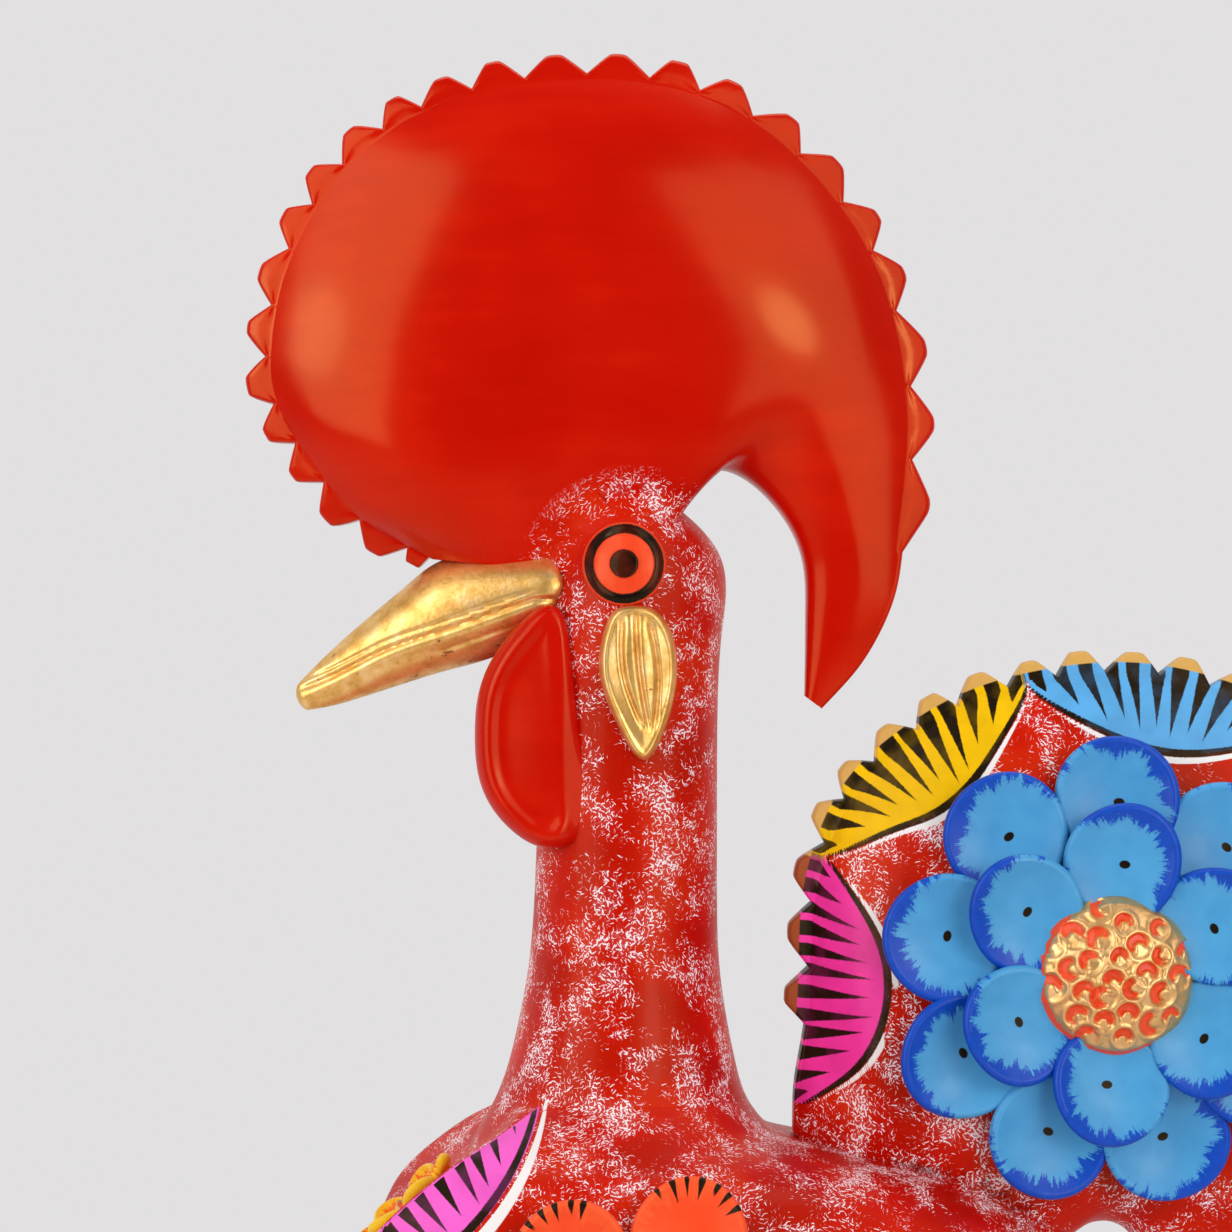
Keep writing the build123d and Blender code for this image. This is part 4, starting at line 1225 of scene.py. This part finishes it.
def flower_ring(place, ring):
    """Petals of one ring, each laid on its seat, tilted inwards and rolled a little over its neighbour."""
    distance, radius, count, first, height, tilt = ring
    middle = place(0, 0)[0]
    grids, marks = [], []
    for a in np.radians(first + 360 / count * np.arange(count)):
        seat, normal = place(distance * np.cos(a), distance * np.sin(a))
        out = seat - middle
        out -= normal * (out @ normal)
        out /= np.linalg.norm(out)
        up = normal * np.cos(np.radians(tilt)) - out * np.sin(np.radians(tilt))
        across = np.cross(out, up)
        lean = np.radians(ROLL + rng.uniform(-ROLL_CHANCE, ROLL_CHANCE))
        across, up = across * np.cos(lean) + up * np.sin(lean), up * np.cos(lean) - across * np.sin(lean)
        local, mark = petal_shape(radius)
        origin = seat + normal * (height + PETAL_T)
        grids.append(origin + local @ np.stack([across, np.cross(up, across), up]))
        marks.append(mark)
    return grids, marks


print("a petal rolls by", ROLL, "degrees, give or take", ROLL_CHANCE)

# %% [markdown]
# A petal's face is dabbed in a light tone and its rim is brushed in a strong one. The brush goes out
# over the rim, so the border between them is ragged along the radius, and it lies deeper on one side.
# That is why the noise follows the direction from the petal's middle and not the place.


# %% Petal paint
def petal_rim(tree, place, reach):
    """Share of the rim's paint, past reach for r + 0.3*y' + noises, y' the swung height; and the bristles."""
    spot = add(tree, "Attribute", attribute_name="petal").outputs["Vector"]
    x, y, chance = add(tree, "SeparateXYZ", spot).outputs
    flat = add(tree, "CombineXYZ", x, y)
    way = add(tree, "VectorMath NORMALIZE", flat)
    ray = add(tree, "VectorMath ADD", way, add(tree, "CombineXYZ", None, None, chance))
    bristle = add(tree, "TexNoise", ray, 9.0, 6.0, 0.8)
    broad = add(tree, "TexNoise", ray, 2.2, 1.0)
    speck = add(tree, "TexNoise", place, PER_MM / 0.8, 2.0)
    swing = add(tree, "Math SINE", add(tree, "Math MULTIPLY", chance, 7.0))
    swung = add(tree, "VectorRotate", flat, None, swing, rotation_type="Z_AXIS")
    high = add(tree, "SeparateXYZ", swung).outputs["Y"]
    edge = add(tree, "Math MULTIPLY_ADD", high, 0.3, add(tree, "VectorMath LENGTH", flat))
    for noise, strength in ((bristle, 0.2), (broad, 0.12), (speck, 0.05)):
        edge = add(tree, "Math ADD", edge, add(tree, "MapRange", noise, 0.3, 0.7, -strength, strength))
    return add(tree, "MapRange", edge, reach, reach + 0.07), bristle


def petal_paint(name, faces, rims, reach):
    """Enamelled petal: a soft face, a rim brushed inwards in dry strokes, and the ink drawn over both."""
    material, tree, place = new_material(name)
    rim, bristle = petal_rim(tree, place, reach)
    face = add(tree, "Mix RGBA", add(tree, "TexNoise", place, PER_MM / 7, 3.0), *map(linear, faces))
    band = add(tree, "Mix RGBA", bristle, *map(linear, rims))
    marks = add(tree, "Attribute", attribute_name="marks").outputs["Vector"]
    ink = add(tree, "SeparateXYZ", marks).outputs["Y"]
    inked = add(tree, "MapRange", ink, -0.12, 0.12, interpolation_type="SMOOTHSTEP")
    done = add(tree, "Mix RGBA", inked, add(tree, "Mix RGBA", rim, face, band), INK)
    glossy(tree, done, bristle, rough=0.4, coat=0.08, bump=0.08, shine=0.25)
    return material


# enamel with a soft shine, so that the colours stay clear and the brushwork shows
blue_petal = petal_paint("blue_petal_enamel", ("#3C90C8", "#54A8DA"), ("#0034A4", "#0058C8"), 0.86)
orange_petal = petal_paint("orange_petal_enamel", ("#F2431F", "#FC5A32"), ("#F2431F", "#FF6A3A"), 0.9)
yellow_petal = petal_paint("yellow_petal_enamel", ("#EE5B18", "#F57A1E"), ("#F2B80A", "#FFD23A"), 0.7)
print("materials", blue_petal.name, orange_petal.name, yellow_petal.name)

# %% [markdown]
# The tail's petals have one black dot each, the flank's have black strokes in from the tip, and the small
# ones on the breast are left plain. The ink is a distance in millimetres, above zero inside a mark.


# %% Petal ink
TIP_STROKES = 7


def ink_marks(ink):
    """Ink as the middle one of the three marks."""
    return stacked(0, ink, 0)


def dot_marks(petal, radius):
    """Ink of one black dot near the middle of a petal: an oval of 3.1 by 2.3 mm."""
    x, y = petal[..., 0] * radius, petal[..., 1] * radius
    return ink_marks(1.15 - np.hypot((x - 0.6) / 1.35, y + 0.5))


def no_marks(petal, radius):
    """No ink at all."""
    return np.full(petal.shape, -OFF)


def strokes(along, deep, starts, lengths, widths):
    """Distance into the nearest stroke: round at its start, then tapering as (1 - d/length)^0.8."""
    best = np.full(along.shape, -OFF)
    for start, long, wide in zip(starts, lengths, widths):
        t = np.clip(deep / long, 0, 1)
        body = wide * np.sqrt(np.clip(0.5 + t / 0.2, 0, 1)) * (1 - t) ** 0.8
        best = np.maximum(best, np.where(deep < long, body - np.abs(along - start), -0.5))
    return best


def rim_strokes(petal, radius):
    """Ink of seven strokes from the tip of a petal inwards, widest at the rim."""
    x, y = petal[..., 0] * radius, petal[..., 1] * radius
    turn, deep = np.arctan2(x, y) * radius, radius - np.hypot(x, y)
    number = np.arange(TIP_STROKES) - TIP_STROKES // 2
    places = number * 0.27 * radius + rng.uniform(-0.5, 0.5, TIP_STROKES)
    lengths = rng.uniform(0.3, 0.42, TIP_STROKES) * radius
    widths = rng.uniform(0.8, 1.15, TIP_STROKES)
    return ink_marks(np.where(y > -0.2 * radius, strokes(turn, deep, places, lengths, widths), -OFF))


print("dot in the middle of a petal", dot_marks(np.zeros((1, 3)), 17.6).round(2))

# %% [markdown]
# The boss is a domed button, stamped all over with the end of a reed held askew. Each stamp leaves a
# crescent that is deep on one side and pushes up a burr round it. The stamps are deep enough to hold
# shade, so they are part of the mesh, on a spiral that fills the dome evenly.


# %% Bosses
STAMP_DEPTH, BURR, EDGE_DROP = 1.6, 0.7, 1.4
SUNFLOWER = np.radians(137.508)     # the turn from one stamp to the next


def stamps(x, y, radius, cups):
    """Depth mark and burr of crescents on a sunflower spiral, with chance in place, size and turn."""
    k = np.arange(cups)
    spot_r = 0.92 * radius * np.sqrt((k + 0.5) / cups) + rng.uniform(-0.9, 0.9, cups)
    spot_a = SUNFLOWER * k + rng.uniform(-0.9, 0.9, cups) / np.maximum(spot_r, 2)
    sizes, turns = rng.uniform(2.3, 3.2, cups), rng.uniform(-1.8, 0.4, cups)
    stamp, burr = np.full(x.shape, -1.0), np.zeros(x.shape)
    for sr, sa, size, askew in zip(spot_r, spot_a, sizes, turns):
        dx, dy = x - sr * np.cos(sa), y - sr * np.sin(sa)
        gap, turn = np.hypot(dx, dy) / size, np.arctan2(dy, dx)
        crescent = (0.55 - np.abs(gap - 0.7)) * np.maximum(0.55 + 0.6 * np.cos(turn - askew), 0.05)
        stamp = np.maximum(stamp, crescent)
        burr = np.maximum(burr, np.exp(-((gap - 1.35) ** 2) / 0.06))
    return stamp, burr


def boss_grid(radius, edge, dome, cups):
    """Spherical cap with stamps, shallower to its edge, a dropped rim and a stem; and the paint's mark."""
    ball = (radius**2 + dome**2) / (2 * dome)
    r, way = np.linspace(0, radius, 90)[:, None], np.linspace(0, 2 * np.pi, 241)
    share = r / radius
    stamp, burr = stamps(r * np.cos(way), r * np.sin(way), radius, cups)
    h = edge + dome - ball + np.sqrt(ball**2 - r**2) - EDGE_DROP * rise(0.9, 1.0, share)
    h = h + (BURR * burr - STAMP_DEPTH * rise(0.0, 0.3, stamp)) * (1 - 0.35 * share**2)
    stamp = np.maximum(stamp, 0.4 * rise(0.9, 0.96, share) * rise(-0.2, 0.3, np.cos(way - 0.6)))
    stem_r = np.array([0.985, 0.94, 0.86, 0.45, 0.0])[:, None] * radius + 0 * way
    stem_h = np.array([edge - 2.3, edge - 3.0, 0.45 * edge - 0.8, -0.8, -0.8])[:, None] + 0 * way
    r, h = np.vstack([r + 0 * way, stem_r]), np.vstack([h, stem_h])
    stamp = np.vstack([stamp, np.full(stem_h.shape, 0.5)])
    return stacked(r * np.cos(way), r * np.sin(way), h), ink_marks(stamp)


print("turn from stamp to stamp", round(float(SUNFLOWER), 3), "radians")

# %% [markdown]
# Orange paint was wiped over the gilded boss. It stays in the crescents and is gone from the high places,
# where the dulled gold shows.

# %% Boss paint
# dull gold with orange in the hollows: the stamps read as dark and bright at once
stamped_boss, tree, place = new_material("stamped_gilt_boss")
gilt, metal, rough, wrinkle = leaf(tree, place)
marks = add(tree, "Attribute", attribute_name="marks").outputs["Vector"]
smear = add(tree, "TexNoise", place, PER_MM / 1.6, 3.0)
wiped = add(tree, "MapRange", smear, 0.3, 0.7, -0.1, 0.1)
paint = add(tree, "Math ADD", add(tree, "SeparateXYZ", marks).outputs["Y"], wiped)
cover = add(tree, "MapRange", paint, 0.15, 0.21)
dull = add(tree, "Mix RGBA", 0.5, gilt, linear("#DCA878"))
colour = add(tree, "Mix RGBA", cover, dull, linear("#EE4A10"))
gilded(tree, colour, add(tree, "Mix", cover, metal, 0.0), rough, wrinkle, bump=0.4)
print("material", stamped_boss.name)

# %% [markdown]
# The flowers sit on the tail, on the flanks and on the shield. Each has its seat as a function, from an
# offset along the skin to a point and a normal.

# %% Flower seats
TAIL_FLOWER, FLANK_FLOWER = (84, 346.6), (-41.5, 240.5)
BREAST_UP = 0.18     # share of the way up the shield
tail_cloud = tail_grid[tail_grid[..., 1] < -1]
body_cloud = body_grid[body_grid[..., 1] < -1]


def on_tail(u, v):
    """Seat on the tail's left side, at an offset from the flower's middle."""
    return seat_on(tail_cloud, TAIL_FLOWER[0] + u, TAIL_FLOWER[1] + v)


def on_flank(u, v):
    """Seat on the left flank, at an offset from the flower's middle."""
    return seat_on(body_cloud, FLANK_FLOWER[0] + u, FLANK_FLOWER[1] + v)


def on_shield(u, v):
    """Seat in the dish of the breast shield, with u up the shield and v across the bird."""
    spot = FACET_FOOT + facet_dir * (np.linalg.norm(FACET_HEAD - FACET_FOOT) * BREAST_UP + u)
    spot = spot + facet_out * dish_floor(v)
    lean = v / dish_r
    normal = facet_out * np.sqrt(1 - lean**2)
    return np.array([spot[0], v, spot[1]]), np.array([normal[0], -lean, normal[1]])


print("seats", [seat(0, 0)[0].round(1).tolist() for seat in (on_tail, on_flank, on_shield)])

# %% [markdown]
# A flower is its rings from the outside in, and then the boss in the middle.

# %% Flowers
# distance, petal radius, count, first angle, height of the underside, tilt
TAIL_RINGS = [(46.5, 17.6, 9, 8, -0.8, 9), (29.5, 16.6, 6, 26, 2.6, 12)]
FLANK_RINGS = [(40.5, 16.0, 8, 77, -0.8, 9), (25.0, 14.2, 6, 54, 3.0, 13)]
BREAST_RINGS = [(12.4, 6.1, 6, 0, -0.8, 10)]
# radius, height of the edge, height of the dome over it, number of stamps
TAIL_BOSS, FLANK_BOSS, BREAST_BOSS = (21.6, 5.5, 8.0, 27), (16.5, 5.2, 6.5, 17), (5.8, 2.8, 3.4, 7)
BOSS_CREASE = 70.0


def blossom(name, place, rings, titles, boss, material, slot, ink, both=True):
    """Rings of petals and the boss of one flower, and its mirror on the other side."""
    for ring, title in zip(rings, titles):
        grids, petals = flower_ring(place, ring)
        marks = {"petal": petals, "marks": [ink(petal, ring[1]) for petal in petals]}
        pair(f"{title}_skin", grids, material, slot, title, marks, both=both)
    middle, axis = place(0, 0)
    across = np.cross(axis, (0.0, 0.0, 1.0))
    across /= np.linalg.norm(across)
    local, stamped = boss_grid(*boss)
    grid = middle + local @ np.stack([across, np.cross(axis, across), axis])
    pair(f"{name}_boss_skin", [grid], stamped_boss, "stamped_boss", f"{name}_boss",
         {"marks": [stamped]}, BOSS_CREASE, both)


blossom("tail", on_tail, TAIL_RINGS, ("tail_outer_petals", "tail_inner_petals"), TAIL_BOSS,
        blue_petal, "blue_petal", dot_marks)
blossom("flank", on_flank, FLANK_RINGS, ("flank_outer_petals", "flank_inner_petals"), FLANK_BOSS,
        orange_petal, "orange_petal", rim_strokes)
blossom("breast", on_shield, BREAST_RINGS, ("breast_petals",), BREAST_BOSS,
        yellow_petal, "yellow_petal", no_marks, both=False)

# %% [markdown]
# Legs and feet are rolled clay, gilded like the beak. The shank swells to a thigh under the belly, with
# a few rings pressed round it. It is round, so a radius along its height is enough.

# %% Legs
LEG_X, LEG_Y, LEG_TOP, PLINTH_H = -14.0, -30.0, 146.0, 30.0
SHANK_Z, SHANK_R = [30, 60, 83, 106, 140, 147], [[9.5], [9.5], [9.7], [11.9], [17.0], [17.4]]
RING_PITCH, RING_RELIEF = 6.5, 0.45
ring = np.linspace(0, 2 * np.pi, 73)
leg_z = np.linspace(PLINTH_H + 0.2, LEG_TOP, 150)
shank = spline(SHANK_R, leg_z, SHANK_Z)
z = leg_z[:, None]
shank += RING_RELIEF * (np.cos((z - 48) * 2 * np.pi / RING_PITCH) * rise(46, 52, z) * rise(84, 78, z))
leg_grid = stacked(LEG_X + shank * np.cos(ring), LEG_Y + shank * np.sin(ring), z)
leg_grid = capped(leg_grid, (LEG_X, LEG_Y, leg_z[0]), (LEG_X, LEG_Y, leg_z[-1]))
pair("leg_skin", [leg_grid], gold_leaf, "gold_leaf", "leg")

# %% [markdown]
# Three toes and a spur lie on the plinth, each swelling at its knuckles and ending in a claw, with a low
# dome of clay pressed over them round the shank. Each is a closed roll of its own that runs into the
# dome, as the rolls of clay do. The spur is turned a little, as pressed by hand.

# %% Feet
TOE_R = [[6.4], [7.0], [6.0], [5.9], [4.4], [2.6], [0.4]]
TOE_FLAT, LIFT = 0.35, 0.1     # how flat a toe lies, and its height over the plinth
TOES, TOE_LENGTH = (-36, 0, 36), 40
SPUR, SPUR_LENGTH = 176, 24
ANKLE_R, ANKLE_H = 15, 13.5


def toe_grid(length, heading):
    """Toe lying on the plinth: a round section flattened below, with a wave of knuckles along it."""
    t = np.linspace(0, 1, 60)[:, None]
    r = spline(TOE_R, t[:, 0] * 6) + 0.5 * np.cos(t * 2 * np.pi * 2.5) * rise(1.0, 0.7, t)
    way = np.linspace(0, 2 * np.pi, 49)
    across, high = r * np.cos(way), r * (np.maximum(np.sin(way), -TOE_FLAT) + TOE_FLAT) + LIFT
    ahead, a = -length * t, np.radians(heading)
    return stacked(ahead * np.cos(a) - across * np.sin(a), ahead * np.sin(a) + across * np.cos(a), high)


def ankle_grid():
    """Low dome of clay pressed round the foot of the shank."""
    up = np.linspace(0, np.pi / 2, 24)[:, None]
    r = ANKLE_R * np.cos(up)
    return stacked(r * np.cos(ring), r * np.sin(ring), ANKLE_H * np.sin(up) + LIFT)


foot = np.array([LEG_X, LEG_Y, PLINTH_H])
toes = [toe_grid(TOE_LENGTH, heading) for heading in TOES] + [toe_grid(SPUR_LENGTH, SPUR)]
foot_grids = [foot + capped(t, t[0].mean(axis=0), t[-1].mean(axis=0)) for t in toes]
foot_grids.append(foot + capped(ankle_grid(), (0, 0, LIFT), (0, 0, ANKLE_H + LIFT)))
pair("foot_skin", foot_grids, gold_leaf, "gold_leaf", "foot")

# %% [markdown]
# The plinth is a thrown disc with a rounded shoulder, hollow underneath, standing on a foot ring, so one
# profile turned round makes it. It is below the photograph and follows the traditional figure.

# %% Plinth form
PLINTH_R, PLINTH_WALL, PLINTH_EDGE = 92.0, 11.0, 13.0
bend = np.linspace(0, np.pi / 2, 40)
top, ceiling = PLINTH_R - PLINTH_EDGE, PLINTH_H - PLINTH_WALL
profile_r = np.concatenate([
    [0], np.linspace(4, top - 1, 40), top + PLINTH_EDGE * np.sin(bend), np.full(12, PLINTH_R),
    [PLINTH_R - 0.6, PLINTH_R - 1.6, 82.6, 81.4, 81, 81, 79, 40, 0],
])
profile_z = np.concatenate([
    np.full(41, PLINTH_H), PLINTH_H - PLINTH_EDGE * (1 - np.cos(bend)),
    np.linspace(PLINTH_H - PLINTH_EDGE - 1, 1.4, 12),
    [0.4, 0, 0, 0.4, 1.6, ceiling - 2, ceiling, ceiling, ceiling],
])
SHOULDER, FOOT_EDGE = 41, 95     # points of the profile where the shoulder begins and the foot ring ends
ring = np.linspace(0, 2 * np.pi, 721)
r, z = profile_r[:, None], profile_z[:, None]
plinth_grid = stacked(r * np.cos(ring), r * np.sin(ring), z)
print("plinth", plinth_grid.shape)

# %% [markdown]
# It is painted blue, with fans like the tail's standing on its lower edge and reaching up to the shoulder,
# as the traditional figure has it.

# %% Plinth
FAN_COUNT, PLINTH_FAN, PLINTH_STROKES = 8, 24.0, 11
FAN_FOOT = 38.0     # mm down the side, from the shoulder to where the fans stand
run = np.concatenate([[0], np.cumsum(np.hypot(np.diff(profile_r), np.diff(profile_z)))])
along = np.broadcast_to((ring * PLINTH_R)[:, None], (len(ring), len(run)))
deep = np.broadcast_to(FAN_FOOT - (run - run[SHOULDER]), along.shape)
ends = np.linspace(0, 2 * np.pi * PLINTH_R, FAN_COUNT + 1)
plinth_marks = fan_row(along, deep, ends, (YELLOW, MAGENTA), PLINTH_FAN, PLINTH_STROKES,
                       within=run <= run[FOOT_EDGE])
plinth_marks = {key: [np.moveaxis(value, 0, 1)] for key, value in plinth_marks.items()}

# blue enamel under the fans, glossier than the petals, as a part that is touched
plinth_paint, tree, place = new_material("blue_plinth_enamel")
tone = add(tree, "TexNoise", place, PER_MM / 14, 5.0, 0.6)
blue = add(tree, "Mix RGBA", tone, linear("#0D2E9C"), linear("#1E4FC4"))
glossy(tree, ornament(tree, place, blue), tone)
plinth = surface("plinth_skin", [plinth_grid], plinth_marks)
lay(plinth, plinth_paint, "plinth_paint", "plinth")

# %% [markdown]
# Plain studio: a pale floor that fades into the backdrop, as a paper sweep does. A bent sheet could
# stand behind the bird, but a floor that turns clear towards its edge works from every side.

# %% Floor
FLOOR = 1.5
floor_mesh = bpy.data.meshes.new("floor")
floor_mesh.from_pydata([(-FLOOR, -FLOOR, 0), (FLOOR, -FLOOR, 0), (FLOOR, FLOOR, 0), (-FLOOR, FLOOR, 0)],
                       [], [(0, 1, 2, 3)])
floor = bpy.data.objects.new("floor", floor_mesh)
bpy.context.scene.collection.objects.link(floor)
# matt pale floor that turns clear towards its edge, so that no horizon shows
floor_paint, tree, place = new_material("pale_floor")
shade = add(tree, "BsdfPrincipled", named={"Base Color": linear("#DEDCDD"), "Roughness": 0.8})
far = add(tree, "VectorMath LENGTH", place)
fade = add(tree, "MapRange", far, 0.5, 1.45, interpolation_type="SMOOTHSTEP")
sweep = add(tree, "MixShader", fade, shade, add(tree, "BsdfTransparent"))
add(tree, "OutputMaterial", sweep)
floor_mesh.materials.append(floor_paint)
print("floor", 2 * FLOOR, "m wide")

# %% [markdown]
# A large soft box stands on each side of the camera and one hangs overhead. A small round lamp beside
# each of the two gives the sharper spots of light on the comb. The gloss shows the lamps themselves, so
# their sizes and places follow from the reflections in the photograph.


# %% Lamps
AIM = (-0.05, 0, 0.45)


def soft_box(name, place, size, power, shape="RECTANGLE"):
    """Area lamp at a place in metres, turned towards the bird: its Z axis points from there to the lamp."""
    lamp = bpy.data.lights.new(name, "AREA")
    lamp.shape = shape
    lamp.size, lamp.size_y = size
    lamp.energy = power
    box = bpy.data.objects.new(name, lamp)
    back = np.array(place) - np.array(AIM)
    back = back / np.linalg.norm(back)
    box.location = place
    box.rotation_euler = (np.arccos(back[2]), 0, np.arctan2(back[1], back[0]) + np.pi / 2)
    bpy.context.scene.collection.objects.link(box)


soft_box("soft_box_left", (-1.3, -1.1, 0.95), (1.1, 2.3), 19.8)
soft_box("soft_box_right", (1.0, -1.3, 0.95), (1.5, 2.3), 18)
soft_box("lamp_left", (-1.25, -0.75, 0.78), (0.46, 0.46), 1.7, "DISK")
soft_box("lamp_right", (0.72, -1.15, 0.76), (0.46, 0.46), 2.9, "DISK")
soft_box("soft_box_top", (0.0, 0.15, 1.7), (1.2, 0.8), 5)
print("studio", len(bpy.data.lights), "lamps")

# %% [markdown]
# The world is pale behind the bird and dim behind the camera, as a room with a pale sweep is. The camera
# itself sees an even backdrop.

# %% World
world = bpy.data.worlds.new("studio")
bpy.context.scene.world = world
world.use_nodes = True
tree = world.node_tree
tree.nodes.clear()
look = add(tree, "SeparateXYZ", add(tree, "TexCoord").outputs["Generated"])
room = add(tree, "MapRange", look.outputs["Y"], -0.35, 0.25, 0.12, 0.72)
seen = add(tree, "LightPath").outputs["Is Camera Ray"]
tint = add(tree, "Mix RGBA", seen, (1, 1, 1, 1), linear("#E2E0E1"))
add(tree, "OutputWorld", add(tree, "Background", tint, add(tree, "Mix", seen, room, 1.0)))
print("world", len(tree.nodes), "nodes")
